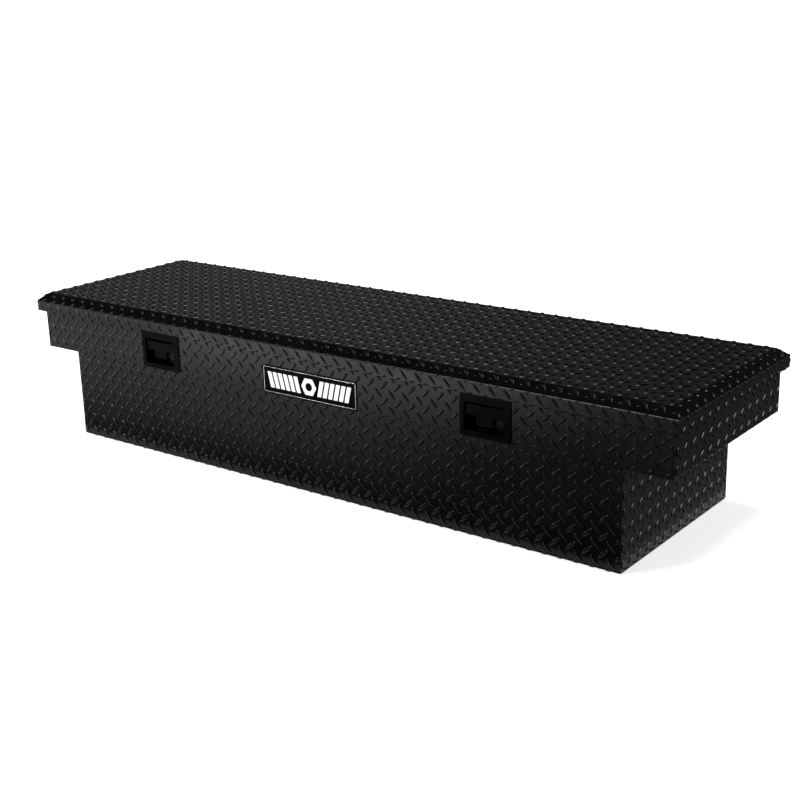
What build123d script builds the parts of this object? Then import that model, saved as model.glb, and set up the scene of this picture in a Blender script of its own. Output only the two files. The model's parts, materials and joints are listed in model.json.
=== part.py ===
from build123d import *
import math
import os

# Crossover tool box for a pickup bed: an aluminium tread-plate tub with two wings that sit on the
# bed rails, closed by one full-length lid. All sizes are millimetres. The origin is on the tub's
# underside, at the middle of its length and depth; +X runs along the box to its right-hand end,
# +Y points to the hinge side and +Z up, so the latches look along -Y.

# ---- driving dimensions: sheet-metal shell ----------------------------------------------------
LID_LENGTH = 1778.0        # 70 in over the lid
LID_DEPTH = 510.0          # 20 in over the lid
SADDLE_HEIGHT = 216.0      # tub bottom to the underside of the wings
BAND_REVEAL = 96.0         # upper wall that shows between the wings' underside and the lid's skirt
SKIRT_HEIGHT = 26.0
BEVEL_RISE = 17.0
BEVEL_RUN = 22.0
END_OVERHANG = 13.0        # lid past the wings' end walls
FRONT_OVERHANG = 15.0      # lid past the front and back walls
WING_LENGTH = 106.0        # tub end to wing end
SHEET = 1.6                # tread-plate base thickness
BEND_RADIUS = 3.0          # outside radius of every bend
LAP = 10.0                 # tub walls rising behind the upper walls
END_FOOT = 18.0            # inward foot of each tub end, on the floor
WING_LAP = 26.0            # wing sheet turned down inside the tub end
RIM_FLANGE = 22.0
SEAL_WIDTH = 12.0
SEAL_HEIGHT = 7.0
SEAL_CROWN = 3.0
LINER = 1.2
FOAM = 11.2
LINER_INSET = 10.0         # liner edge inside the lid's outer face
FOAM_INSET = 34.0
RAIL_HOLE_RADIUS = 5.5     # clearance for 3/8 in rail clamps
RAIL_HOLE_SPACING = 300.0  # along the depth
FIT = 0.2                  # gap between sheets that are cut to meet

# ---- driving dimensions: piano hinge ----------------------------------------------------------
HINGE_LENGTH = 1700.0
KNUCKLES = 34
KNUCKLE_RADIUS = 4.0
KNUCKLE_WALL_GAP = 0.5     # knuckle to back wall
KNUCKLE_DROP = 1.0         # knuckle below the skirt
KNUCKLE_GAP = 0.6
HINGE_PIN_RADIUS = 1.6
PIN_CLEARANCE = 0.05
LEAF = 1.2
LEAF_HEIGHT = 22.0
HINGE_RIVETS = 12
RIVET_RADIUS = 2.0
RIVET_HEAD_RADIUS = 3.6
RIVET_HEAD = 1.5
HOLE_CLEARANCE = 0.1
LID_RIVET_RISE = 14.3      # rivet line above the skirt's lower edge

# ---- driving dimensions: paddle latches -------------------------------------------------------
LATCH_X = 463.0            # each latch from the middle of the box
BEZEL_WIDTH = 122.0
BEZEL_HEIGHT = 90.0
BEZEL = 2.0
BEZEL_CORNER = 5.0
BEZEL_BELOW_SKIRT = 4.0
GASKET = 1.0
GASKET_INSET = 2.0
RECESS_WIDTH = 94.0
RECESS_HEIGHT = 60.0
RECESS_DEPTH = 26.0
RECESS_SHIFT_X = -3.0
RECESS_SHIFT_Z = -3.0
RECESS_CORNER = 3.0
DISH_WALL = 1.5
CUTOUT_PLAY = 1.0          # wall's cut-out round the dish
WINDOW_PLAY = 2.0          # floor window round the lever
STUD_RADIUS = 2.0
STUD_LENGTH = 9.0
STUD_EDGE = 4.0            # stud axis inside the bezel's side edge
STUD_SPACING_Z = 44.0
NUT_RADIUS = 4.4
NUT_HEIGHT = 4.0
PADDLE_SIDE_GAP = 2.0
PADDLE_TOP_GAP = 6.0
PADDLE_SHEET = 3.0
PADDLE_EDGE = 0.8          # rounding of the paddle's front edges
PADDLE_BAR_HEIGHT = 22.0
PADDLE_SET_BACK = 4.0      # paddle's face behind the bezel's face
TAB_WIDTH = 40.0
TAB_HEIGHT = 18.0
TAB_LIP_RADIUS = 2.5
CHEEK = 3.0
PADDLE_PIN_RADIUS = 2.0
PADDLE_PIN_BACK = 10.0     # pin axis behind the paddle's face
PADDLE_PIN_DROP = 3.0      # pin axis below the bar's top
LEVER_PAST_FLOOR = 9.5     # drive pin behind the dish's floor
LEVER_DROP = 1.0
LEVER_SHEET = 4.0
LEVER_TIP_RADIUS = 4.0
LEVER_SIDE_GAP = 0.6       # lever to hook
DRIVE_PIN_RADIUS = 1.8
DRIVE_PIN_END = 1.0        # drive pin past the hook
DRIVE_SLOT_PLAY = 0.6      # hook's slot round the drive pin, each side
DRIVE_SLOT_LENGTH = 12.0
DRIVE_SLOT_SHIFT = 3.0     # slot's middle past the drive pin
PADDLE_SWING = 30.0
HOOK_RATIO = 0.5           # hook angle over paddle angle
HOOK_SHEET = 4.0
HOOK_SHIFT_X = -6.0
HOOK_ARM = 43.0            # hook pivot behind the drive pin
HOOK_PIVOT_DROP = 10.0     # hook pivot below the drive pin
HOOK_HUB_RADIUS = 8.0
HOOK_PIN_RADIUS = 3.0
HOOK_FORK = 5.5            # fork mouth past the drive pin
HOOK_STEM = 8.0
HOOK_NOSE_GAP = 1.2        # nose short of the striker bar
HOOK_NOSE = 5.0
HOOK_NOSE_LIFT = 1.0       # nose's underside above the striker bar
HOOK_WEB = 4.0             # slant where the arm meets the stem and the heel
FORK_ROOT_GAP = 2.0        # fork's root past the drive pin
HEEL_GAP = 1.5             # hook's heel above the lock's cam
CHEEK_SPACING = 20.0
BRACKET_SHEET = 2.0
BRACKET_HEIGHT = 24.0
BRACKET_TAB = 2.0          # bracket's foot left beside its window
PIN_HEAD = 2.0             # height and overlap of the hook pin's heads
SPRING_WIRE = 0.8
SPRING_RADIUS = 5.2
SPRING_PITCH = 2.0
SPRING_TURNS = 3
SPRING_END_GAP = 0.6
STRIKER_RADIUS = 4.0
STRIKER_SPAN = 30.0
STRIKER_SET_BACK = 15.0    # striker bar behind the hook pivot
STRIKER_PLATE = 2.0
STRIKER_DEPTH_Z = 33.0     # striker bar below the liner
LOCK_X = 31.0              # lock axis from the latch's middle
LOCK_Z = -11.0
LOCK_BOSS_WIDTH = 25.0
LOCK_BOSS_HEIGHT = 34.0
LOCK_BOSS_CORNER = 11.0
LOCK_BOSS_REACH = 16.0
LOCK_BOSS_EDGE = 1.5
LOCK_BARREL_RADIUS = 10.8
LOCK_BARREL_REACH = 8.0
LOCK_NUT_RADIUS = 13.5
PLUG_RADIUS = 8.0
PLUG_PROUD = 1.0
KEYWAY_WIDTH = 1.6
KEYWAY_LENGTH = 9.0
KEYWAY_DEPTH = 4.0
CAM_LENGTH = 34.0
CAM_WIDTH = 10.0
CAM_SHEET = 2.0
CAM_TAIL_RADIUS = 3.0

# ---- driving dimensions: nameplate and gas struts ---------------------------------------------
PLATE_WIDTH = 270.0
PLATE_HEIGHT = 65.0
PLATE_THICKNESS = 1.0
PLATE_CORNER = 6.0
PLATE_RAISE = 1.5          # plate's lower edge above the wings' underside
STRUT_ARM = 160.0          # hinge axis to either strut pivot
STRUT_LID_ANGLE = 4.5      # lid pivot above the hinge's level, seen from the hinge
STRUT_BOX_ANGLE = 65.0     # box pivot below the hinge's level
STRUT_END_GAP = 20.0       # strut axis inside the tub end
STRUT_TUBE_RADIUS = 9.0
STRUT_TUBE_WALL = 1.4
STRUT_TUBE_START = 14.0
STRUT_TUBE_END = 158.0
STRUT_GLAND = 8.0
STRUT_ROD_RADIUS = 4.0
STRUT_ROD_LENGTH = 160.0
STRUT_RUNNING_GAP = 0.3
STRUT_PISTON = 5.0
EYE_RADIUS = 9.0
EYE_WIDTH = 10.0
EYE_ROOT = 2.0             # neck starts this far inside the eye's rim
NECK_OVERLAP = 1.0         # neck's end inside the tube's end wall
STRUT_PIN_RADIUS = 4.0
STRUT_COLLAR_RADIUS = 6.5
STRUT_COLLAR = 2.0
STRUT_SIDE_GAP = 0.4
ANCHOR_SHEET = 3.0
ANCHOR_WIDTH = 40.0

# ---- places that follow from the sizes above --------------------------------------------------
BODY_LENGTH = LID_LENGTH - 2 * END_OVERHANG
BODY_DEPTH = LID_DEPTH - 2 * FRONT_OVERHANG
TUB_LENGTH = BODY_LENGTH - 2 * WING_LENGTH
SKIRT_BOTTOM = SADDLE_HEIGHT + BAND_REVEAL
SKIRT_TOP = SKIRT_BOTTOM + SKIRT_HEIGHT
LID_TOP = SKIRT_TOP + BEVEL_RISE
LINER_BOTTOM = LID_TOP - SHEET - FOAM - LINER
RIM_TOP = LINER_BOTTOM - SEAL_HEIGHT
FRONT_FACE = -BODY_DEPTH / 2
BACK_FACE = BODY_DEPTH / 2
TUB_OUTER = BODY_DEPTH / 2 - SHEET
TUB_INNER = TUB_OUTER - SHEET
RAIL_HOLE_X = TUB_LENGTH / 2 + WING_LENGTH / 2
END_TOP = SADDLE_HEIGHT - BEND_RADIUS   # tub ends stop below the wings' bend

HINGE_Y = BACK_FACE + KNUCKLE_WALL_GAP + KNUCKLE_RADIUS
HINGE_Z = SKIRT_BOTTOM - KNUCKLE_DROP - KNUCKLE_RADIUS
SKIRT_INSIDE = LID_DEPTH / 2 - SHEET
KNUCKLE_PITCH = HINGE_LENGTH / KNUCKLES
BODY_LEAF_TOP = HINGE_Z - KNUCKLE_RADIUS - KNUCKLE_WALL_GAP
HINGE_BORE = HINGE_PIN_RADIUS + PIN_CLEARANCE

BEZEL_Z = SKIRT_BOTTOM - BEZEL_BELOW_SKIRT - BEZEL_HEIGHT / 2
BEZEL_BACK = FRONT_FACE - GASKET
BEZEL_FACE = BEZEL_BACK - BEZEL
RECESS_Z = BEZEL_Z + RECESS_SHIFT_Z
RECESS_TOP = RECESS_Z + RECESS_HEIGHT / 2
FLOOR_FRONT = BEZEL_FACE + RECESS_DEPTH
FLOOR_BACK = FLOOR_FRONT + DISH_WALL
STUD_X = BEZEL_WIDTH / 2 - STUD_EDGE
PADDLE_FACE = BEZEL_FACE + PADDLE_SET_BACK
PADDLE_BACK = PADDLE_FACE + PADDLE_SHEET
PADDLE_TOP = RECESS_TOP - PADDLE_TOP_GAP
PADDLE_WIDTH = RECESS_WIDTH - 2 * PADDLE_SIDE_GAP
BAR_BOTTOM = PADDLE_TOP - PADDLE_BAR_HEIGHT
TAB_BOTTOM = BAR_BOTTOM - TAB_HEIGHT
PIN_Y = PADDLE_FACE + PADDLE_PIN_BACK
PIN_Z = PADDLE_TOP - PADDLE_PIN_DROP
DRIVE_Y = FLOOR_BACK + LEVER_PAST_FLOOR
DRIVE_Z = PIN_Z - LEVER_DROP
HOOK_Y = DRIVE_Y + HOOK_ARM
HOOK_Z = DRIVE_Z - HOOK_PIVOT_DROP
STRIKER_Y = HOOK_Y + STRIKER_SET_BACK
STRIKER_Z = LINER_BOTTOM - STRIKER_DEPTH_Z
LOCK_Z_ABOVE = BEZEL_Z + LOCK_Z
BARREL_BACK = FLOOR_BACK + LOCK_BARREL_REACH
CAM_BACK = BARREL_BACK + CAM_SHEET

STRUT_X = TUB_LENGTH / 2 - SHEET - STRUT_END_GAP
LID_PIVOT_Y = HINGE_Y - STRUT_ARM * math.cos(math.radians(STRUT_LID_ANGLE))
LID_PIVOT_Z = HINGE_Z + STRUT_ARM * math.sin(math.radians(STRUT_LID_ANGLE))
BOX_PIVOT_Y = HINGE_Y - STRUT_ARM * math.cos(math.radians(STRUT_BOX_ANGLE))
BOX_PIVOT_Z = HINGE_Z - STRUT_ARM * math.sin(math.radians(STRUT_BOX_ANGLE))


def front_plane(x, y, z):
    """A plane that looks out of the box's front: local x is +X, local y is +Z, normal -Y."""
    return Plane((x, y, z), x_dir=(1, 0, 0), z_dir=(0, -1, 0))


def side_plane(x):
    """A plane across the box at x: local x is +Y, local y is +Z, normal +X."""
    return Plane((x, 0, 0), x_dir=(0, 1, 0), z_dir=(1, 0, 0))


def save(piece, name):
    """Labels a finished piece and writes it as the node of that name."""
    piece.part.label = name
    export_step(piece.part, f"parts/{name}.step")


os.makedirs("parts", exist_ok=True)

# ---- tub: floor, front wall and back wall are one bent sheet ----------------------------------
with BuildPart() as tub_shell:
    with BuildSketch(side_plane(-TUB_LENGTH / 2)):
        with BuildLine():
            FilletPolyline(
                (-TUB_OUTER, SADDLE_HEIGHT + LAP),
                (-TUB_OUTER, 0),
                (TUB_OUTER, 0),
                (TUB_OUTER, SADDLE_HEIGHT + LAP),
                radius=BEND_RADIUS,
            )
            offset(amount=SHEET, side=Side.LEFT)
        make_face()
    extrude(amount=TUB_LENGTH)
save(tub_shell, "tub_shell")

# ---- ends, wings: the same shape at both ends of the box ---------------------------------------
for side, hand in (("left", -1), ("right", 1)):
    end_face = hand * TUB_LENGTH / 2
    end_inside = hand * (TUB_LENGTH / 2 - SHEET)

    with BuildPart() as tub_end:
        with BuildSketch(side_plane(min(end_face, end_inside))):
            with Locations((0, (SHEET + END_TOP) / 2)):
                plate = Rectangle(2 * TUB_INNER - FIT, END_TOP - SHEET)
            fillet(plate.vertices().group_by(Axis.Y)[0], BEND_RADIUS)
        extrude(amount=SHEET)
        with BuildSketch(Plane.XY.offset(SHEET)):
            with Locations((hand * (TUB_LENGTH / 2 - END_FOOT / 2), 0)):
                Rectangle(END_FOOT, 2 * (TUB_INNER - 2 * BEND_RADIUS))
        extrude(amount=SHEET)
    save(tub_end, f"tub_end_{side}")

    with BuildPart() as saddle:
        with BuildSketch(Plane.XZ.offset(-TUB_OUTER)):
            with BuildLine():
                FilletPolyline(
                    (end_inside, SADDLE_HEIGHT - WING_LAP),
                    (end_inside, SADDLE_HEIGHT),
                    (hand * BODY_LENGTH / 2, SADDLE_HEIGHT),
                    (hand * BODY_LENGTH / 2, RIM_TOP),
                    (hand * (BODY_LENGTH / 2 - RIM_FLANGE), RIM_TOP),
                    radius=BEND_RADIUS,
                )
                offset(amount=SHEET, side=Side.RIGHT if hand > 0 else Side.LEFT)
            make_face()
        extrude(amount=2 * TUB_OUTER)
        # Corners cut away where the tub's walls and the front and back flanges pass.
        with BuildSketch(Plane.XY.offset(SADDLE_HEIGHT - WING_LAP)):
            with Locations(
                (end_face, TUB_OUTER),
                (end_face, -TUB_OUTER),
            ):
                Rectangle(2 * (2 * SHEET + FIT), 2 * (SHEET + FIT))
        extrude(amount=WING_LAP + LAP + FIT, mode=Mode.SUBTRACT)
        with BuildSketch(Plane.XY.offset(RIM_TOP - 2 * SHEET)):
            with Locations(
                (hand * BODY_LENGTH / 2, BACK_FACE),
                (hand * BODY_LENGTH / 2, FRONT_FACE),
            ):
                Rectangle(2 * (RIM_FLANGE + FIT), 2 * (RIM_FLANGE + FIT))
        extrude(amount=2 * SHEET, mode=Mode.SUBTRACT)
        with BuildSketch(Plane.XY.offset(SADDLE_HEIGHT)):
            with Locations(
                (hand * RAIL_HOLE_X, RAIL_HOLE_SPACING / 2),
                (hand * RAIL_HOLE_X, -RAIL_HOLE_SPACING / 2),
            ):
                Circle(RAIL_HOLE_RADIUS)
        extrude(amount=SHEET, mode=Mode.SUBTRACT)
    save(saddle, f"wing_{side}")

# ---- upper walls, each turned in along the top to carry the seal ------------------------------
cutout_width = RECESS_WIDTH + 2 * (DISH_WALL + CUTOUT_PLAY)
cutout_height = RECESS_HEIGHT + 2 * (DISH_WALL + CUTOUT_PLAY)

with BuildPart() as front_band:
    with BuildSketch(side_plane(-BODY_LENGTH / 2)):
        with BuildLine():
            FilletPolyline(
                (FRONT_FACE, SADDLE_HEIGHT),
                (FRONT_FACE, RIM_TOP),
                (FRONT_FACE + RIM_FLANGE, RIM_TOP),
                radius=BEND_RADIUS,
            )
            offset(amount=SHEET, side=Side.RIGHT)
        make_face()
    extrude(amount=BODY_LENGTH)
    with BuildSketch(front_plane(0, FRONT_FACE, 0)):
        for latch_x in (-LATCH_X, LATCH_X):
            with Locations((latch_x + RECESS_SHIFT_X, RECESS_Z)):
                RectangleRounded(cutout_width, cutout_height, RECESS_CORNER)
            with Locations((latch_x, BEZEL_Z)):
                with GridLocations(2 * STUD_X, STUD_SPACING_Z, 2, 2):
                    Circle(STUD_RADIUS + HOLE_CLEARANCE)
    extrude(amount=-SHEET, mode=Mode.SUBTRACT)
save(front_band, "front_wall")

rivet_pitch = HINGE_LENGTH / HINGE_RIVETS
body_rivet_z = BODY_LEAF_TOP - LEAF_HEIGHT / 2
lid_rivet_z = SKIRT_BOTTOM + LID_RIVET_RISE

with BuildPart() as back_band:
    with BuildSketch(side_plane(-BODY_LENGTH / 2)):
        with BuildLine():
            FilletPolyline(
                (BACK_FACE, SADDLE_HEIGHT),
                (BACK_FACE, RIM_TOP),
                (BACK_FACE - RIM_FLANGE, RIM_TOP),
                radius=BEND_RADIUS,
            )
            offset(amount=SHEET, side=Side.LEFT)
        make_face()
    extrude(amount=BODY_LENGTH)
    with BuildSketch(front_plane(0, BACK_FACE, body_rivet_z)):
        with GridLocations(rivet_pitch, 0, HINGE_RIVETS, 1):
            Circle(RIVET_RADIUS + HOLE_CLEARANCE)
    extrude(amount=SHEET, mode=Mode.SUBTRACT)
save(back_band, "back_wall")

with BuildPart() as weather_seal:
    seal_inset = (RIM_FLANGE - SEAL_WIDTH) / 2
    with BuildSketch(Plane.XY.offset(RIM_TOP)):
        RectangleRounded(BODY_LENGTH - 2 * seal_inset, BODY_DEPTH - 2 * seal_inset, 2 * SEAL_WIDTH)
        RectangleRounded(
            BODY_LENGTH - 2 * (seal_inset + SEAL_WIDTH),
            BODY_DEPTH - 2 * (seal_inset + SEAL_WIDTH),
            SEAL_WIDTH,
            mode=Mode.SUBTRACT,
        )
    extrude(amount=SEAL_HEIGHT)
    fillet(weather_seal.edges().group_by(Axis.Z)[-1], SEAL_CROWN)
save(weather_seal, "weather_seal")

with BuildPart() as nameplate:
    with BuildSketch(front_plane(0, FRONT_FACE, SADDLE_HEIGHT + PLATE_RAISE + PLATE_HEIGHT / 2)):
        RectangleRounded(PLATE_WIDTH, PLATE_HEIGHT, PLATE_CORNER)
    extrude(amount=PLATE_THICKNESS)
save(nameplate, "nameplate")

# ---- lid: pressed skin, foam core and flat inner liner ----------------------------------------
bevel_angle = math.atan2(BEVEL_RISE, BEVEL_RUN)
inner_skirt_top = SKIRT_TOP - SHEET * math.tan((math.pi / 2 - bevel_angle) / 2)
inner_top_inset = BEVEL_RUN + SHEET * math.tan(bevel_angle / 2)

with BuildPart() as lid_skin:
    with BuildSketch(Plane.XY.offset(SKIRT_BOTTOM)):
        Rectangle(LID_LENGTH, LID_DEPTH)
    extrude(amount=SKIRT_HEIGHT)
    with BuildSketch(Plane.XY.offset(SKIRT_TOP)):
        Rectangle(LID_LENGTH, LID_DEPTH)
    with BuildSketch(Plane.XY.offset(LID_TOP)):
        Rectangle(LID_LENGTH - 2 * BEVEL_RUN, LID_DEPTH - 2 * BEVEL_RUN)
    loft()
    at_skirt_top = lid_skin.edges().filter_by_position(Axis.Z, SKIRT_TOP - FIT, SKIRT_TOP + FIT)
    fillet(at_skirt_top, BEND_RADIUS)
    fillet(lid_skin.edges().group_by(Axis.Z)[-1], BEND_RADIUS)
    with BuildSketch(Plane.XY.offset(SKIRT_BOTTOM)):
        Rectangle(LID_LENGTH - 2 * SHEET, LID_DEPTH - 2 * SHEET)
    extrude(amount=inner_skirt_top - SKIRT_BOTTOM, mode=Mode.SUBTRACT)
    with BuildSketch(Plane.XY.offset(inner_skirt_top)):
        Rectangle(LID_LENGTH - 2 * SHEET, LID_DEPTH - 2 * SHEET)
    with BuildSketch(Plane.XY.offset(LID_TOP - SHEET)):
        Rectangle(LID_LENGTH - 2 * inner_top_inset, LID_DEPTH - 2 * inner_top_inset)
    loft(mode=Mode.SUBTRACT)
    with BuildSketch(front_plane(0, LID_DEPTH / 2, lid_rivet_z)):
        with GridLocations(rivet_pitch, 0, HINGE_RIVETS, 1):
            Circle(RIVET_RADIUS + HOLE_CLEARANCE)
    extrude(amount=SHEET, mode=Mode.SUBTRACT)
save(lid_skin, "lid_skin")

with BuildPart() as lid_foam:
    with BuildSketch(Plane.XY.offset(LINER_BOTTOM + LINER)):
        Rectangle(LID_LENGTH - 2 * FOAM_INSET, LID_DEPTH - 2 * FOAM_INSET)
    extrude(amount=FOAM)
save(lid_foam, "lid_foam")

with BuildPart() as lid_liner:
    with BuildSketch(Plane.XY.offset(LINER_BOTTOM)):
        RectangleRounded(LID_LENGTH - 2 * LINER_INSET, LID_DEPTH - 2 * LINER_INSET, BEND_RADIUS)
    extrude(amount=LINER)
save(lid_liner, "lid_liner")

# ---- piano hinge: knuckles alternate between the box's leaf and the lid's leaf ------------------
body_knuckles = [-HINGE_LENGTH / 2 + KNUCKLE_PITCH * i for i in range(0, KNUCKLES, 2)]
lid_knuckles = [x + KNUCKLE_PITCH for x in body_knuckles]
knuckle_length = KNUCKLE_PITCH - KNUCKLE_GAP

with BuildPart() as body_leaf:
    with BuildSketch(front_plane(0, BACK_FACE, BODY_LEAF_TOP - LEAF_HEIGHT / 2)):
        Rectangle(HINGE_LENGTH, LEAF_HEIGHT)
        with GridLocations(rivet_pitch, 0, HINGE_RIVETS, 1):
            Circle(RIVET_RADIUS + HOLE_CLEARANCE, mode=Mode.SUBTRACT)
    extrude(amount=-LEAF)
    with BuildSketch(*[side_plane(x + KNUCKLE_GAP / 2) for x in body_knuckles]):
        with Locations((HINGE_Y, HINGE_Z)):
            Circle(KNUCKLE_RADIUS)
        with Locations((BACK_FACE + LEAF / 2, (BODY_LEAF_TOP + HINGE_Z) / 2)):
            Rectangle(LEAF, HINGE_Z - BODY_LEAF_TOP)
        with Locations((HINGE_Y, HINGE_Z)):
            Circle(HINGE_BORE, mode=Mode.SUBTRACT)
    extrude(amount=knuckle_length)
save(body_leaf, "hinge_leaf_box")

with BuildPart() as lid_leaf:
    leaf_bottom = HINGE_Z - LEAF / 2
    leaf_top = SKIRT_TOP - SHEET - BEND_RADIUS
    with BuildSketch(front_plane(0, SKIRT_INSIDE, 0)):
        with Locations((0, (leaf_bottom + leaf_top) / 2)):
            Rectangle(HINGE_LENGTH, leaf_top - leaf_bottom)
        with Locations((0, lid_rivet_z)):
            with GridLocations(rivet_pitch, 0, HINGE_RIVETS, 1):
                Circle(RIVET_RADIUS + HOLE_CLEARANCE, mode=Mode.SUBTRACT)
    extrude(amount=LEAF)
    with BuildSketch(*[side_plane(x + KNUCKLE_GAP / 2) for x in lid_knuckles]):
        with Locations((HINGE_Y, HINGE_Z)):
            Circle(KNUCKLE_RADIUS)
        with Locations(((HINGE_Y + SKIRT_INSIDE) / 2, HINGE_Z)):
            Rectangle(SKIRT_INSIDE - HINGE_Y, LEAF)
        with Locations((HINGE_Y, HINGE_Z)):
            Circle(HINGE_BORE, mode=Mode.SUBTRACT)
    extrude(amount=knuckle_length)
save(lid_leaf, "hinge_leaf_lid")

with BuildPart() as hinge_pin:
    with BuildSketch(side_plane(-HINGE_LENGTH / 2)):
        with Locations((HINGE_Y, HINGE_Z)):
            Circle(HINGE_PIN_RADIUS)
    extrude(amount=HINGE_LENGTH)
save(hinge_pin, "hinge_pin")

with BuildPart() as box_rivets:
    for depth, length, radius in (
        (BACK_FACE + LEAF, SHEET + LEAF, RIVET_RADIUS),
        (BACK_FACE + LEAF + RIVET_HEAD, RIVET_HEAD, RIVET_HEAD_RADIUS),
        (BACK_FACE - SHEET, RIVET_HEAD, RIVET_HEAD_RADIUS),
    ):
        with BuildSketch(front_plane(0, depth, body_rivet_z)):
            with GridLocations(rivet_pitch, 0, HINGE_RIVETS, 1):
                Circle(radius)
        extrude(amount=length)
save(box_rivets, "hinge_rivets_box")

with BuildPart() as lid_rivets:
    for depth, length, radius in (
        (LID_DEPTH / 2, SHEET + LEAF, RIVET_RADIUS),
        (SKIRT_INSIDE - LEAF, RIVET_HEAD, RIVET_HEAD_RADIUS),
    ):
        with BuildSketch(front_plane(0, depth, lid_rivet_z)):
            with GridLocations(rivet_pitch, 0, HINGE_RIVETS, 1):
                Circle(radius)
        extrude(amount=length)
save(lid_rivets, "hinge_rivets_lid")

# ---- two paddle latches, alike and not mirrored -------------------------------------------------
drive_slot = 2 * (DRIVE_PIN_RADIUS + DRIVE_SLOT_PLAY)
lever_drop_at_floor = (DRIVE_Y - PIN_Y + LEVER_TIP_RADIUS) * math.sin(math.radians(PADDLE_SWING))
window_top = DRIVE_Z + LEVER_TIP_RADIUS + WINDOW_PLAY
window_bottom = PIN_Z - lever_drop_at_floor - 2 * WINDOW_PLAY
heel_bottom = LOCK_Z_ABOVE + CAM_WIDTH / 2 + HEEL_GAP

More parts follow.
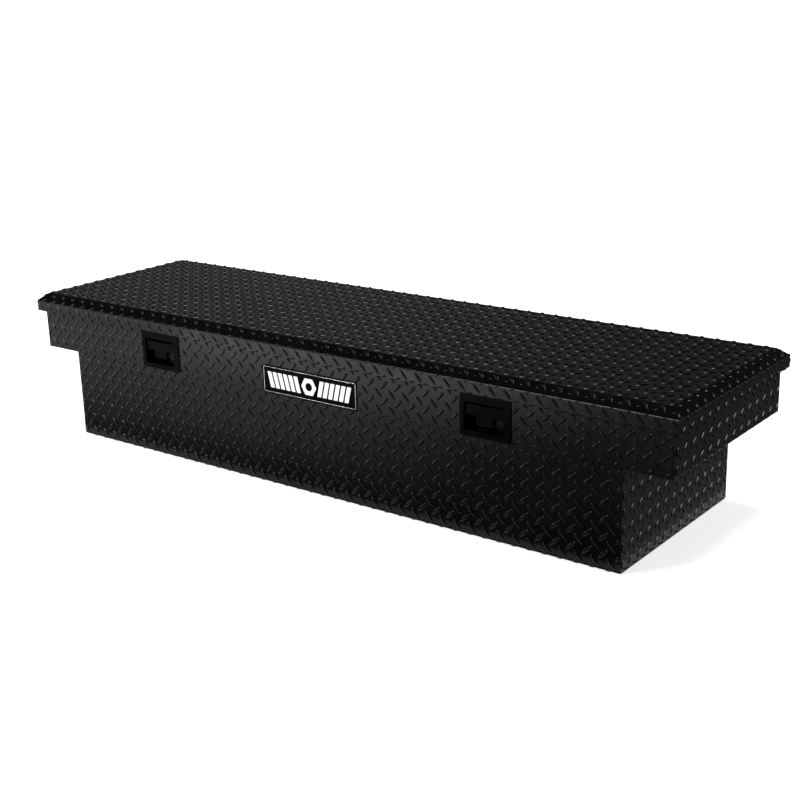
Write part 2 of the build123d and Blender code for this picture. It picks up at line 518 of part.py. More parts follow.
for side, x0 in (("left", -LATCH_X), ("right", LATCH_X)):
    hook_x = x0 + HOOK_SHIFT_X
    recess_x = x0 + RECESS_SHIFT_X
    lock_x = x0 + LOCK_X
    lever_x = hook_x + HOOK_SHEET / 2 + LEVER_SIDE_GAP
    lock_plane_y = FLOOR_FRONT - LOCK_BOSS_REACH

    with BuildPart() as gasket:
        with BuildSketch(front_plane(x0, FRONT_FACE, BEZEL_Z)):
            RectangleRounded(
                BEZEL_WIDTH - GASKET_INSET, BEZEL_HEIGHT - GASKET_INSET, BEZEL_CORNER
            )
            with Locations((RECESS_SHIFT_X, RECESS_SHIFT_Z)):
                RectangleRounded(cutout_width, cutout_height, RECESS_CORNER, mode=Mode.SUBTRACT)
            with GridLocations(2 * STUD_X, STUD_SPACING_Z, 2, 2):
                Circle(STUD_RADIUS + HOLE_CLEARANCE, mode=Mode.SUBTRACT)
        extrude(amount=GASKET)
    save(gasket, f"latch_gasket_{side}")

    with BuildPart() as dish:
        with BuildSketch(front_plane(x0, BEZEL_BACK, BEZEL_Z)):
            RectangleRounded(BEZEL_WIDTH, BEZEL_HEIGHT, BEZEL_CORNER)
        extrude(amount=BEZEL)
        fillet(dish.edges().group_by(Axis.Y)[0], BEZEL / 2)
        with BuildSketch(front_plane(recess_x, FLOOR_BACK, RECESS_Z)):
            RectangleRounded(
                RECESS_WIDTH + 2 * DISH_WALL, RECESS_HEIGHT + 2 * DISH_WALL, RECESS_CORNER
            )
        extrude(amount=FLOOR_BACK - BEZEL_BACK)
        with BuildSketch(front_plane(recess_x, FLOOR_FRONT, RECESS_Z)):
            RectangleRounded(RECESS_WIDTH, RECESS_HEIGHT, RECESS_CORNER)
        extrude(amount=RECESS_DEPTH, mode=Mode.SUBTRACT)
        # The recess's mouth and the bezel's own front loop are the eight longest front edges.
        fillet(dish.edges().group_by(Axis.Y)[0].sort_by(SortBy.LENGTH)[-8:], BEZEL / 4)
        with BuildSketch(front_plane(x0, BEZEL_BACK, BEZEL_Z)):
            with GridLocations(2 * STUD_X, STUD_SPACING_Z, 2, 2):
                Circle(STUD_RADIUS)
        extrude(amount=-STUD_LENGTH)
        # Floor window for the paddle's lever, floor hole for the lock barrel.
        with BuildSketch(front_plane(0, FLOOR_BACK, 0)):
            with Locations((lever_x + LEVER_SHEET / 2, (window_top + window_bottom) / 2)):
                Rectangle(LEVER_SHEET + WINDOW_PLAY, window_top - window_bottom)
            with Locations((lock_x, LOCK_Z_ABOVE)):
                Circle(LOCK_BARREL_RADIUS + HOLE_CLEARANCE)
        extrude(amount=DISH_WALL, mode=Mode.SUBTRACT)
        with BuildSketch(side_plane(recess_x - RECESS_WIDTH / 2 - DISH_WALL)):
            with Locations((PIN_Y, PIN_Z)):
                Circle(PADDLE_PIN_RADIUS + PIN_CLEARANCE)
        extrude(amount=RECESS_WIDTH + 2 * DISH_WALL, mode=Mode.SUBTRACT)
    save(dish, f"latch_dish_{side}")

    with BuildPart() as paddle:
        with BuildSketch(front_plane(recess_x, PADDLE_BACK, 0)):
            with Locations((0, (PADDLE_TOP + BAR_BOTTOM) / 2)):
                Rectangle(PADDLE_WIDTH, PADDLE_BAR_HEIGHT)
            with Locations((0, (BAR_BOTTOM + TAB_BOTTOM) / 2)):
                Rectangle(TAB_WIDTH, TAB_HEIGHT)
        extrude(amount=PADDLE_SHEET)
        fillet(paddle.edges().filter_by(Axis.Y), PADDLE_EDGE)
        fillet(paddle.edges().group_by(Axis.Y)[0], PADDLE_EDGE)
        with BuildSketch(side_plane(recess_x - TAB_WIDTH / 2)):
            with Locations((PADDLE_FACE + PADDLE_SHEET / 2, TAB_BOTTOM)):
                Circle(TAB_LIP_RADIUS)
        extrude(amount=TAB_WIDTH)
        pin_boss = 2 * PADDLE_PIN_RADIUS
        cheek_starts = (recess_x - PADDLE_WIDTH / 2, recess_x + PADDLE_WIDTH / 2 - CHEEK)
        with BuildSketch(*[side_plane(x) for x in cheek_starts]):
            with BuildLine():
                Polyline(
                    (PADDLE_BACK, PADDLE_TOP),
                    (PIN_Y + pin_boss, PADDLE_TOP),
                    (PIN_Y + pin_boss, PIN_Z - pin_boss),
                    (PADDLE_BACK, PIN_Z - 2 * pin_boss),
                    close=True,
                )
            make_face()
        extrude(amount=CHEEK)
        with BuildSketch(side_plane(lever_x)):
            with BuildLine():
                Polyline(
                    (PADDLE_BACK, PADDLE_TOP),
                    (DRIVE_Y, DRIVE_Z + LEVER_TIP_RADIUS),
                    (DRIVE_Y, DRIVE_Z - LEVER_TIP_RADIUS),
                    (PADDLE_BACK, PIN_Z - LEVER_TIP_RADIUS * 2),
                    close=True,
                )
            make_face()
            with Locations((DRIVE_Y, DRIVE_Z)):
                Circle(LEVER_TIP_RADIUS)
        extrude(amount=LEVER_SHEET)
        with BuildSketch(side_plane(hook_x - HOOK_SHEET / 2 - DRIVE_PIN_END)):
            with Locations((DRIVE_Y, DRIVE_Z)):
                Circle(DRIVE_PIN_RADIUS)
        extrude(amount=lever_x - hook_x + HOOK_SHEET / 2 + DRIVE_PIN_END)
        with BuildSketch(side_plane(recess_x - PADDLE_WIDTH / 2)):
            with Locations((PIN_Y, PIN_Z)):
                Circle(PADDLE_PIN_RADIUS + PIN_CLEARANCE)
        extrude(amount=PADDLE_WIDTH, mode=Mode.SUBTRACT)
    save(paddle, f"paddle_{side}")

    with BuildPart() as paddle_pin:
        with BuildSketch(side_plane(recess_x - RECESS_WIDTH / 2 - DISH_WALL)):
            with Locations((PIN_Y, PIN_Z)):
                Circle(PADDLE_PIN_RADIUS)
        extrude(amount=RECESS_WIDTH + 2 * DISH_WALL)
    save(paddle_pin, f"paddle_pin_{side}")

    # Bell crank: a forked front arm that the paddle's drive pin moves, and an upright hook.
    with BuildPart() as hook:
        fork_end = DRIVE_Y - HOOK_FORK + DRIVE_PIN_RADIUS
        fork_root = DRIVE_Y + DRIVE_PIN_RADIUS + FORK_ROOT_GAP
        nose_bottom = STRIKER_Z + STRIKER_RADIUS + HOOK_NOSE_LIFT
        drive_angle = math.degrees(math.atan2(DRIVE_Z - HOOK_Z, DRIVE_Y - HOOK_Y))
        slot_reach = math.hypot(DRIVE_Z - HOOK_Z, DRIVE_Y - HOOK_Y) + DRIVE_SLOT_SHIFT
        along_arm = Location((HOOK_Y, HOOK_Z)) * Rotation(0, 0, drive_angle)
        with BuildSketch(side_plane(hook_x - HOOK_SHEET / 2)):
            with BuildLine():
                Polyline(
                    (fork_end, DRIVE_Z + LEVER_TIP_RADIUS + HOOK_NOSE_LIFT),
                    (HOOK_Y - HOOK_STEM / 2 - HOOK_WEB, HOOK_Z + HOOK_HUB_RADIUS),
                    (HOOK_Y - HOOK_STEM / 2, HOOK_Z + HOOK_HUB_RADIUS + HOOK_WEB),
                    (HOOK_Y - HOOK_STEM / 2, nose_bottom + HOOK_NOSE),
                    (HOOK_Y + HOOK_STEM / 2, nose_bottom + HOOK_NOSE),
                    (STRIKER_Y - STRIKER_RADIUS - HOOK_NOSE_GAP, nose_bottom),
                    (HOOK_Y + HOOK_STEM / 2, nose_bottom - HOOK_NOSE_LIFT),
                    (HOOK_Y + HOOK_HUB_RADIUS, HOOK_Z),
                    (HOOK_Y, HOOK_Z - HOOK_HUB_RADIUS),
                    (fork_root + HOOK_WEB, heel_bottom),
                    (fork_end, heel_bottom),
                    close=True,
                )
            make_face()
            with Locations((HOOK_Y, HOOK_Z)):
                Circle(HOOK_HUB_RADIUS)
            with Locations(along_arm * Location((slot_reach, 0))):
                Rectangle(DRIVE_SLOT_LENGTH, drive_slot, mode=Mode.SUBTRACT)
            with Locations((HOOK_Y, HOOK_Z)):
                Circle(HOOK_PIN_RADIUS + PIN_CLEARANCE, mode=Mode.SUBTRACT)
        extrude(amount=HOOK_SHEET)
    save(hook, f"latch_hook_{side}")

    with BuildPart() as bracket:
        with BuildSketch(front_plane(hook_x, FLOOR_BACK + BRACKET_SHEET, HOOK_Z)):
            Rectangle(CHEEK_SPACING + 2 * BRACKET_SHEET, BRACKET_HEIGHT)
        extrude(amount=BRACKET_SHEET)
        # The window is open at the top, so that the lever and the hook's arm pass.
        notch_top = max(window_top, HOOK_Z + BRACKET_HEIGHT / 2) + BRACKET_TAB / 2
        notch_bottom = window_bottom - BRACKET_TAB / 2
        with BuildSketch(front_plane(hook_x, FLOOR_BACK + BRACKET_SHEET, 0)):
            with Locations((0, (notch_bottom + notch_top) / 2)):
                Rectangle(CHEEK_SPACING - 2 * BRACKET_TAB, notch_top - notch_bottom)
        extrude(amount=BRACKET_SHEET, mode=Mode.SUBTRACT)
        cheeks = (hook_x - CHEEK_SPACING / 2 - BRACKET_SHEET, hook_x + CHEEK_SPACING / 2)
        with BuildSketch(*[side_plane(x) for x in cheeks]):
            with BuildLine():
                Polyline(
                    (FLOOR_BACK, HOOK_Z - BRACKET_HEIGHT / 2),
                    (HOOK_Y, HOOK_Z - HOOK_HUB_RADIUS),
                    (HOOK_Y + HOOK_HUB_RADIUS, HOOK_Z),
                    (HOOK_Y, HOOK_Z + HOOK_HUB_RADIUS),
                    (FLOOR_BACK, HOOK_Z + BRACKET_HEIGHT / 2),
                    close=True,
                )
            make_face()
            with Locations((HOOK_Y, HOOK_Z)):
                Circle(HOOK_HUB_RADIUS)
                Circle(HOOK_PIN_RADIUS + PIN_CLEARANCE, mode=Mode.SUBTRACT)
        extrude(amount=BRACKET_SHEET)
    save(bracket, f"latch_bracket_{side}")

    with BuildPart() as hook_pin:
        pin_start = hook_x - CHEEK_SPACING / 2 - BRACKET_SHEET
        pin_length = CHEEK_SPACING + 2 * BRACKET_SHEET
        with BuildSketch(side_plane(pin_start)):
            with Locations((HOOK_Y, HOOK_Z)):
                Circle(HOOK_PIN_RADIUS)
        extrude(amount=pin_length)
        heads = (pin_start - PIN_HEAD, pin_start + pin_length)
        with BuildSketch(*[side_plane(x) for x in heads]):
            with Locations((HOOK_Y, HOOK_Z)):
                Circle(HOOK_PIN_RADIUS + PIN_HEAD)
        extrude(amount=PIN_HEAD)
    save(hook_pin, f"hook_pin_{side}")

    # The spring's turns are plain rings, close together on the hook pin.
    with BuildPart() as spring:
        first_turn = hook_x - CHEEK_SPACING / 2 + SPRING_WIRE + SPRING_END_GAP
        turns = [first_turn + SPRING_PITCH * i for i in range(SPRING_TURNS)]
        with Locations(*[(turn, HOOK_Y, HOOK_Z) for turn in turns]):
            Torus(SPRING_RADIUS, SPRING_WIRE, rotation=(0, 90, 0))
    save(spring, f"hook_spring_{side}")

    with BuildPart() as nuts:
        with BuildSketch(front_plane(x0, FRONT_FACE + SHEET + NUT_HEIGHT, BEZEL_Z)):
            with GridLocations(2 * STUD_X, STUD_SPACING_Z, 2, 2):
                RegularPolygon(NUT_RADIUS, 6)
                Circle(STUD_RADIUS + PIN_CLEARANCE, mode=Mode.SUBTRACT)
        extrude(amount=NUT_HEIGHT)
        with BuildSketch(front_plane(lock_x, FLOOR_BACK + NUT_HEIGHT, LOCK_Z_ABOVE)):
            RegularPolygon(LOCK_NUT_RADIUS, 6)
            Circle(LOCK_BARREL_RADIUS + PIN_CLEARANCE, mode=Mode.SUBTRACT)
        extrude(amount=NUT_HEIGHT)
    save(nuts, f"latch_nuts_{side}")

    with BuildPart() as lock_body:
        with BuildSketch(front_plane(lock_x, FLOOR_FRONT, LOCK_Z_ABOVE)):
            RectangleRounded(LOCK_BOSS_WIDTH, LOCK_BOSS_HEIGHT, LOCK_BOSS_CORNER)
        extrude(amount=LOCK_BOSS_REACH)
        fillet(lock_body.edges().group_by(Axis.Y)[0], LOCK_BOSS_EDGE)
        with BuildSketch(front_plane(lock_x, BARREL_BACK, LOCK_Z_ABOVE)):
            Circle(LOCK_BARREL_RADIUS)
        extrude(amount=BARREL_BACK - FLOOR_FRONT)
        with BuildSketch(front_plane(lock_x, BARREL_BACK, LOCK_Z_ABOVE)):
            Circle(PLUG_RADIUS + PIN_CLEARANCE)
        extrude(amount=BARREL_BACK - lock_plane_y, mode=Mode.SUBTRACT)
    save(lock_body, f"lock_body_{side}")

    with BuildPart() as plug:
        with BuildSketch(front_plane(lock_x, BARREL_BACK, LOCK_Z_ABOVE)):
            Circle(PLUG_RADIUS)
        extrude(amount=BARREL_BACK - lock_plane_y + PLUG_PROUD)
        fillet(plug.edges().group_by(Axis.Y)[0], PLUG_PROUD / 2)
        with BuildSketch(front_plane(lock_x, lock_plane_y - PLUG_PROUD, LOCK_Z_ABOVE)):
            Rectangle(KEYWAY_WIDTH, KEYWAY_LENGTH)
        extrude(amount=-KEYWAY_DEPTH, mode=Mode.SUBTRACT)
        with BuildSketch(front_plane(lock_x, CAM_BACK + NUT_HEIGHT, LOCK_Z_ABOVE)):
            Circle(CAM_TAIL_RADIUS)
        extrude(amount=CAM_SHEET + NUT_HEIGHT)
    save(plug, f"lock_plug_{side}")

    with BuildPart() as cam:
        with BuildSketch(front_plane(lock_x, CAM_BACK, LOCK_Z_ABOVE)):
            with Locations((0, -CAM_LENGTH / 2)):
                Rectangle(CAM_WIDTH, CAM_LENGTH)
            Circle(CAM_WIDTH / 2)
            Circle(CAM_TAIL_RADIUS + PIN_CLEARANCE, mode=Mode.SUBTRACT)
        extrude(amount=CAM_SHEET)
        with BuildSketch(front_plane(lock_x, CAM_BACK + NUT_HEIGHT, LOCK_Z_ABOVE)):
            RegularPolygon(CAM_WIDTH / 2, 6)
            Circle(CAM_TAIL_RADIUS + PIN_CLEARANCE, mode=Mode.SUBTRACT)
        extrude(amount=NUT_HEIGHT)
    save(cam, f"lock_cam_{side}")

    with BuildPart() as striker:
        with BuildSketch(Plane.XY.offset(LINER_BOTTOM - STRIKER_PLATE)):
            with Locations((hook_x, STRIKER_Y)):
                RectangleRounded(2 * STRIKER_SPAN, STRIKER_SPAN, STRIKER_RADIUS)
        extrude(amount=STRIKER_PLATE)
        with BuildSketch(Plane.XY.offset(STRIKER_Z)):
            with Locations((hook_x, STRIKER_Y)):
                with GridLocations(STRIKER_SPAN, 0, 2, 1):
                    Circle(STRIKER_RADIUS)
        extrude(amount=LINER_BOTTOM - STRIKER_PLATE - STRIKER_Z)
        with BuildSketch(side_plane(hook_x - STRIKER_SPAN / 2 - STRIKER_RADIUS)):
            with Locations((STRIKER_Y, STRIKER_Z)):
                Circle(STRIKER_RADIUS)
        extrude(amount=STRIKER_SPAN + 2 * STRIKER_RADIUS)
    save(striker, f"striker_{side}")

# ---- two gas struts between the tub ends and the lid --------------------------------------------
for side, hand in (("left", -1), ("right", 1)):
    x = hand * STRUT_X
    towards_lid = (0, LID_PIVOT_Y - BOX_PIVOT_Y, LID_PIVOT_Z - BOX_PIVOT_Z)
    towards_box = (0, BOX_PIVOT_Y - LID_PIVOT_Y, BOX_PIVOT_Z - LID_PIVOT_Z)
    tube_plane = Plane((x, BOX_PIVOT_Y, BOX_PIVOT_Z), x_dir=(1, 0, 0), z_dir=towards_lid)
    rod_plane = Plane((x, LID_PIVOT_Y, LID_PIVOT_Z), x_dir=(1, 0, 0), z_dir=towards_box)
    outboard = hand * (EYE_WIDTH / 2 + STRUT_SIDE_GAP)
    inboard = -outboard

    with BuildPart() as tube:
        with BuildSketch(side_plane(x - EYE_WIDTH / 2)):
            with Locations((BOX_PIVOT_Y, BOX_PIVOT_Z)):
                Circle(EYE_RADIUS)
                Circle(STRUT_PIN_RADIUS + PIN_CLEARANCE, mode=Mode.SUBTRACT)
        extrude(amount=EYE_WIDTH)
        with BuildSketch(tube_plane.offset(EYE_RADIUS - EYE_ROOT)):
            Circle(STRUT_ROD_RADIUS)
        extrude(amount=STRUT_TUBE_START - EYE_RADIUS + EYE_ROOT + NECK_OVERLAP)
        with BuildSketch(tube_plane.offset(STRUT_TUBE_START)):
            Circle(STRUT_TUBE_RADIUS)
        extrude(amount=STRUT_TUBE_END - STRUT_TUBE_START)
        with BuildSketch(tube_plane.offset(STRUT_TUBE_START + 2 * STRUT_TUBE_WALL)):
            Circle(STRUT_TUBE_RADIUS - STRUT_TUBE_WALL)
        bore = STRUT_TUBE_END - STRUT_GLAND - STRUT_TUBE_START - 2 * STRUT_TUBE_WALL
        extrude(amount=bore, mode=Mode.SUBTRACT)
        with BuildSketch(tube_plane.offset(STRUT_TUBE_END)):
            Circle(STRUT_ROD_RADIUS + STRUT_RUNNING_GAP)
        extrude(amount=-STRUT_GLAND, mode=Mode.SUBTRACT)
    save(tube, f"strut_tube_{side}")

    with BuildPart() as rod:
        with BuildSketch(side_plane(x - EYE_WIDTH / 2)):
            with Locations((LID_PIVOT_Y, LID_PIVOT_Z)):
                Circle(EYE_RADIUS)
                Circle(STRUT_PIN_RADIUS + PIN_CLEARANCE, mode=Mode.SUBTRACT)
        extrude(amount=EYE_WIDTH)
        with BuildSketch(rod_plane.offset(EYE_RADIUS - EYE_ROOT)):
            Circle(STRUT_ROD_RADIUS)
        extrude(amount=STRUT_ROD_LENGTH - EYE_RADIUS + EYE_ROOT)
        with BuildSketch(rod_plane.offset(STRUT_ROD_LENGTH)):
            Circle(STRUT_TUBE_RADIUS - STRUT_TUBE_WALL - STRUT_RUNNING_GAP)
        extrude(amount=-STRUT_PISTON)
    save(rod, f"strut_rod_{side}")

    with BuildPart() as box_anchor:
        plate_x = hand * (TUB_LENGTH / 2 - SHEET - ANCHOR_SHEET)
        with BuildSketch(side_plane(plate_x)):
            with Locations((BOX_PIVOT_Y, BOX_PIVOT_Z)):
                RectangleRounded(ANCHOR_WIDTH, ANCHOR_WIDTH, BEZEL_CORNER)
        extrude(amount=hand * ANCHOR_SHEET)
        with BuildSketch(side_plane(plate_x)):
            with Locations((BOX_PIVOT_Y, BOX_PIVOT_Z)):
                Circle(STRUT_COLLAR_RADIUS)
        extrude(amount=x + outboard - plate_x)
        with BuildSketch(side_plane(x + outboard)):
            with Locations((BOX_PIVOT_Y, BOX_PIVOT_Z)):
                Circle(STRUT_PIN_RADIUS)
        extrude(amount=inboard - outboard)
        with BuildSketch(side_plane(x + inboard)):
            with Locations((BOX_PIVOT_Y, BOX_PIVOT_Z)):
                Circle(STRUT_COLLAR_RADIUS)
        extrude(amount=-hand * STRUT_COLLAR)
    save(box_anchor, f"strut_anchor_box_{side}")

    with BuildPart() as lid_anchor:
        leg_x = x + outboard + hand * STRUT_COLLAR
        with BuildSketch(Plane.XY.offset(LINER_BOTTOM - ANCHOR_SHEET)):
            with Locations((x, LID_PIVOT_Y)):
                RectangleRounded(ANCHOR_WIDTH, ANCHOR_WIDTH, BEZEL_CORNER)
        extrude(amount=ANCHOR_SHEET)
        with BuildSketch(side_plane(leg_x)):
            with Locations((LID_PIVOT_Y, LID_PIVOT_Z)):
                Circle(EYE_RADIUS)
            with Locations((LID_PIVOT_Y, (LID_PIVOT_Z + LINER_BOTTOM - ANCHOR_SHEET) / 2)):
                Rectangle(2 * EYE_RADIUS, LINER_BOTTOM - ANCHOR_SHEET - LID_PIVOT_Z)
        extrude(amount=hand * ANCHOR_SHEET)
        with BuildSketch(side_plane(leg_x)):
            with Locations((LID_PIVOT_Y, LID_PIVOT_Z)):
                Circle(STRUT_COLLAR_RADIUS)
        extrude(amount=-hand * STRUT_COLLAR)
        with BuildSketch(side_plane(x + outboard)):
            with Locations((LID_PIVOT_Y, LID_PIVOT_Z)):
                Circle(STRUT_PIN_RADIUS)
        extrude(amount=inboard - outboard)
        with BuildSketch(side_plane(x + inboard)):
            with Locations((LID_PIVOT_Y, LID_PIVOT_Z)):
                Circle(STRUT_COLLAR_RADIUS)
        extrude(amount=-hand * STRUT_COLLAR)
    save(lid_anchor, f"strut_anchor_lid_{side}")
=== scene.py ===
"""Looks of a crossover truck tool box in black tread plate.

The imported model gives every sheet, hinge, latch and strut at its true size. This script raises the
tread pattern on the sheets, finishes the nameplate and the latch springs, dresses every surface with
a procedural finish and sets up the studio. Lengths are metres, and Z points up.
"""

import json
import logging
import math
from abc import ABC, abstractmethod
from dataclasses import dataclass, field
from enum import Enum

import bpy
import numpy as np
from mathutils import Matrix, Vector

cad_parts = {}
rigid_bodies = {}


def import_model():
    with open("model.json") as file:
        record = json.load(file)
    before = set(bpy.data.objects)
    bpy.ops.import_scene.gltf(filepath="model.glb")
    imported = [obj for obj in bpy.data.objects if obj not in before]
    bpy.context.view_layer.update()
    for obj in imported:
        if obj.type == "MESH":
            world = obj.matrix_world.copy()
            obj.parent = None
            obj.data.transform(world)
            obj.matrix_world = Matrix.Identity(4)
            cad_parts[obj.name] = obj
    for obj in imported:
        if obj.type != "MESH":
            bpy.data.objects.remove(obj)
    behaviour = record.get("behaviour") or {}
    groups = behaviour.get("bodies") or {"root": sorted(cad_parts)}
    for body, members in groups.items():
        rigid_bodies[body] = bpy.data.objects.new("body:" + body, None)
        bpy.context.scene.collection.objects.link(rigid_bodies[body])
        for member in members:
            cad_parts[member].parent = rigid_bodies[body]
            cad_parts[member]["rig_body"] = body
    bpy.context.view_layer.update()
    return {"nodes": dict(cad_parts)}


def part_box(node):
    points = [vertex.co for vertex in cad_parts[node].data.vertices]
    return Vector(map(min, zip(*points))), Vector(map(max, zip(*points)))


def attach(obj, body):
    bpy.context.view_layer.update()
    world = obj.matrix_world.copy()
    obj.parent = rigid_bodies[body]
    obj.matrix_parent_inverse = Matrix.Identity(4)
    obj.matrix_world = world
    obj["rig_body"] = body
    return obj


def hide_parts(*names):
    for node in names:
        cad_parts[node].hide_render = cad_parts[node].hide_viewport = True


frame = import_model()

log = logging.getLogger("tool_box")
MM = 0.001
Color = tuple[float, float, float]


class Slot(Enum):
    """The record's material slots, by the part of the box that wears them."""

    TREAD = "tread_black"
    LINER = "liner_aluminium"
    FOAM = "foam_core"
    SEAL = "seal_rubber"
    PLATE = "plate_enamel"
    HINGE = "hinge_steel"
    LATCH = "latch_black"
    ZINC = "zinc_steel"
    LOCK = "lock_chrome"
    STRUT = "strut_black"
    ROD = "strut_chrome"


class Hand(Enum):
    """Which end of the box a repeated piece belongs to. The value is its sign along X."""

    LEFT = -1
    RIGHT = 1

    @property
    def word(self) -> str:
        """The hand as piece names spell it."""
        return self.name.lower()


# ---- finishes -----------------------------------------------------------------------------------
class Graph:
    """One material's node tree, written in the terms that a finish needs."""

    def __init__(self, name: str) -> None:
        """Starts a material whose patterns are read on Object coordinates.

        Args:
            name: the material's name.
        """
        self.material = bpy.data.materials.new(name)
        self.material.use_nodes = True
        self.tree = self.material.node_tree
        self.shader = self.tree.nodes["Principled BSDF"]
        self.place = self.tree.nodes.new("ShaderNodeTexCoord").outputs["Object"]

    def share_along(self, axis: str) -> bpy.types.NodeSocket:
        """One Object coordinate, X, Y or Z."""
        node = self.tree.nodes.new("ShaderNodeSeparateXYZ")
        self.tree.links.new(self.place, node.inputs["Vector"])
        return node.outputs[axis]

    def combine(
        self, operation: str, first: bpy.types.NodeSocket, second: bpy.types.NodeSocket
    ) -> bpy.types.NodeSocket:
        """Two values joined by a math operation, such as ADD or MULTIPLY."""
        node = self.tree.nodes.new("ShaderNodeMath")
        node.operation = operation
        for socket, source in zip(node.inputs, (first, second)):
            self.tree.links.new(source, socket)
        return node.outputs["Value"]

    def constant(self, socket: str, value: float | tuple[float, ...]) -> None:
        """Sets a value that is the same all over the surface on the shader's own socket."""
        self.shader.inputs[socket].default_value = value

    def stretched(self, scale: Color) -> bpy.types.NodeSocket:
        """Object coordinates scaled along each axis, for a pattern that is longer one way."""
        node = self.tree.nodes.new("ShaderNodeMapping")
        node.inputs["Scale"].default_value = scale
        self.tree.links.new(self.place, node.inputs["Vector"])
        return node.outputs["Vector"]

    def noise(
        self,
        per_metre: float,
        detail: float = 3.0,
        place: bpy.types.NodeSocket | None = None,
    ) -> bpy.types.NodeSocket:
        """Cloudy noise.

        Args:
            per_metre: how many blotches a metre holds.
            detail: octaves of finer noise inside each blotch.
            place: the coordinates to read, or None for plain Object coordinates.

        Returns:
            The noise's 0 to 1 output.
        """
        node = self.tree.nodes.new("ShaderNodeTexNoise")
        node.inputs["Scale"].default_value = per_metre
        node.inputs["Detail"].default_value = detail
        self.tree.links.new(place or self.place, node.inputs["Vector"])
        return node.outputs["Fac"]

    def cells(self, per_metre: float, feature: str = "F1") -> bpy.types.NodeSocket:
        """Distance to the nearest of randomly strewn points, which looks like cells or spangle."""
        node = self.tree.nodes.new("ShaderNodeTexVoronoi")
        node.feature = feature
        node.inputs["Scale"].default_value = per_metre
        self.tree.links.new(self.place, node.inputs["Vector"])
        return node.outputs["Distance"]

    def spread(
        self,
        value: bpy.types.NodeSocket,
        low: float,
        high: float,
        start: float = 0.35,
        stop: float = 0.65,
    ) -> bpy.types.NodeSocket:
        """Maps start..stop of a value to low..high, held at both ends.

        Args:
            value: the socket to map.
            low: result at start.
            high: result at stop.
            start: input that gives low.
            stop: input that gives high.

        Returns:
            The mapped socket.
        """
        node = self.tree.nodes.new("ShaderNodeMapRange")
        for socket, number in (("From Min", start), ("From Max", stop), ("To Min", low), ("To Max", high)):
            node.inputs[socket].default_value = number
        self.tree.links.new(value, node.inputs["Value"])
        return node.outputs["Result"]

    def blend(self, factor: bpy.types.NodeSocket, first: Color, second: Color) -> bpy.types.NodeSocket:
        """A colour that runs from first at 0 to second at 1."""
        node = self.tree.nodes.new("ShaderNodeMix")
        node.data_type = "RGBA"
        node.inputs["A"].default_value = (*first, 1.0)
        node.inputs["B"].default_value = (*second, 1.0)
        self.tree.links.new(factor, node.inputs["Factor"])
        return node.outputs["Result"]

    def drive(self, socket: str, source: bpy.types.NodeSocket) -> None:
        """Links a varying value or colour to the shader."""
        self.tree.links.new(source, self.shader.inputs[socket])

    def relief(self, *layers: tuple[bpy.types.NodeSocket, float]) -> None:
        """Stacks fine relief on the surface.

        Args:
            layers: pairs of a height socket and its depth in metres, coarsest first.
        """
        normal = None
        for height, depth in layers:
            bump = self.tree.nodes.new("ShaderNodeBump")
            bump.inputs["Strength"].default_value = 1.0
            bump.inputs["Distance"].default_value = depth
            self.tree.links.new(height, bump.inputs["Height"])
            if normal is not None:
                self.tree.links.new(normal, bump.inputs["Normal"])
            normal = bump.outputs["Normal"]
        self.drive("Normal", normal)


@dataclass(frozen=True)
class Finish(ABC):
    """A surface finish that can make its material."""

    name: str

    @abstractmethod
    def material(self) -> bpy.types.Material:
        """Builds the finish's material."""


@dataclass(frozen=True)
class PowderCoat(Finish):
    """Baked powder paint: near-black, satin, with the orange peel of flowed powder."""

    dark: Color = (0.0012, 0.0012, 0.0013)
    light: Color = (0.0024, 0.0024, 0.0025)
    smooth: float = 0.15
    rough: float = 0.25
    specular: float = 0.12
    peel_per_metre: float = 420.0
    peel_depth: float = 0.05 * MM
    grain_depth: float = 0.012 * MM

    def material(self) -> bpy.types.Material:
        """Colour drifts slowly, gloss drifts faster, and two layers of relief give the peel."""
        graph = Graph(self.name)
        drift = graph.noise(5.0, 4.0)
        graph.drive("Base Color", graph.blend(graph.spread(drift, 0, 1), self.dark, self.light))
        graph.drive("Roughness", graph.spread(graph.noise(38.0, 5.0), self.smooth, self.rough))
        graph.constant("Specular IOR Level", self.specular)
        graph.relief(
            (graph.noise(self.peel_per_metre, 2.0), self.peel_depth),
            (graph.noise(self.peel_per_metre * 6, 2.0), self.grain_depth),
        )
        return graph.material


@dataclass(frozen=True)
class BrushedMetal(Finish):
    """Rolled or brushed bare metal whose fine lines run along X, with dull patches from handling."""

    dark: Color = (0.42, 0.43, 0.44)
    light: Color = (0.62, 0.63, 0.64)
    smooth: float = 0.24
    rough: float = 0.42
    line_stretch: Color = (6.0, 900.0, 900.0)
    line_depth: float = 0.02 * MM

    def material(self) -> bpy.types.Material:
        """Lines are noise stretched along X; dull patches are slow noise on the roughness."""
        graph = Graph(self.name)
        lines = graph.noise(1.0, 4.0, graph.stretched(self.line_stretch))
        graph.drive("Base Color", graph.blend(graph.spread(lines, 0, 1), self.dark, self.light))
        graph.drive("Roughness", graph.spread(graph.noise(14.0, 5.0), self.smooth, self.rough))
        graph.constant("Metallic", 1.0)
        graph.relief((lines, self.line_depth))
        return graph.material


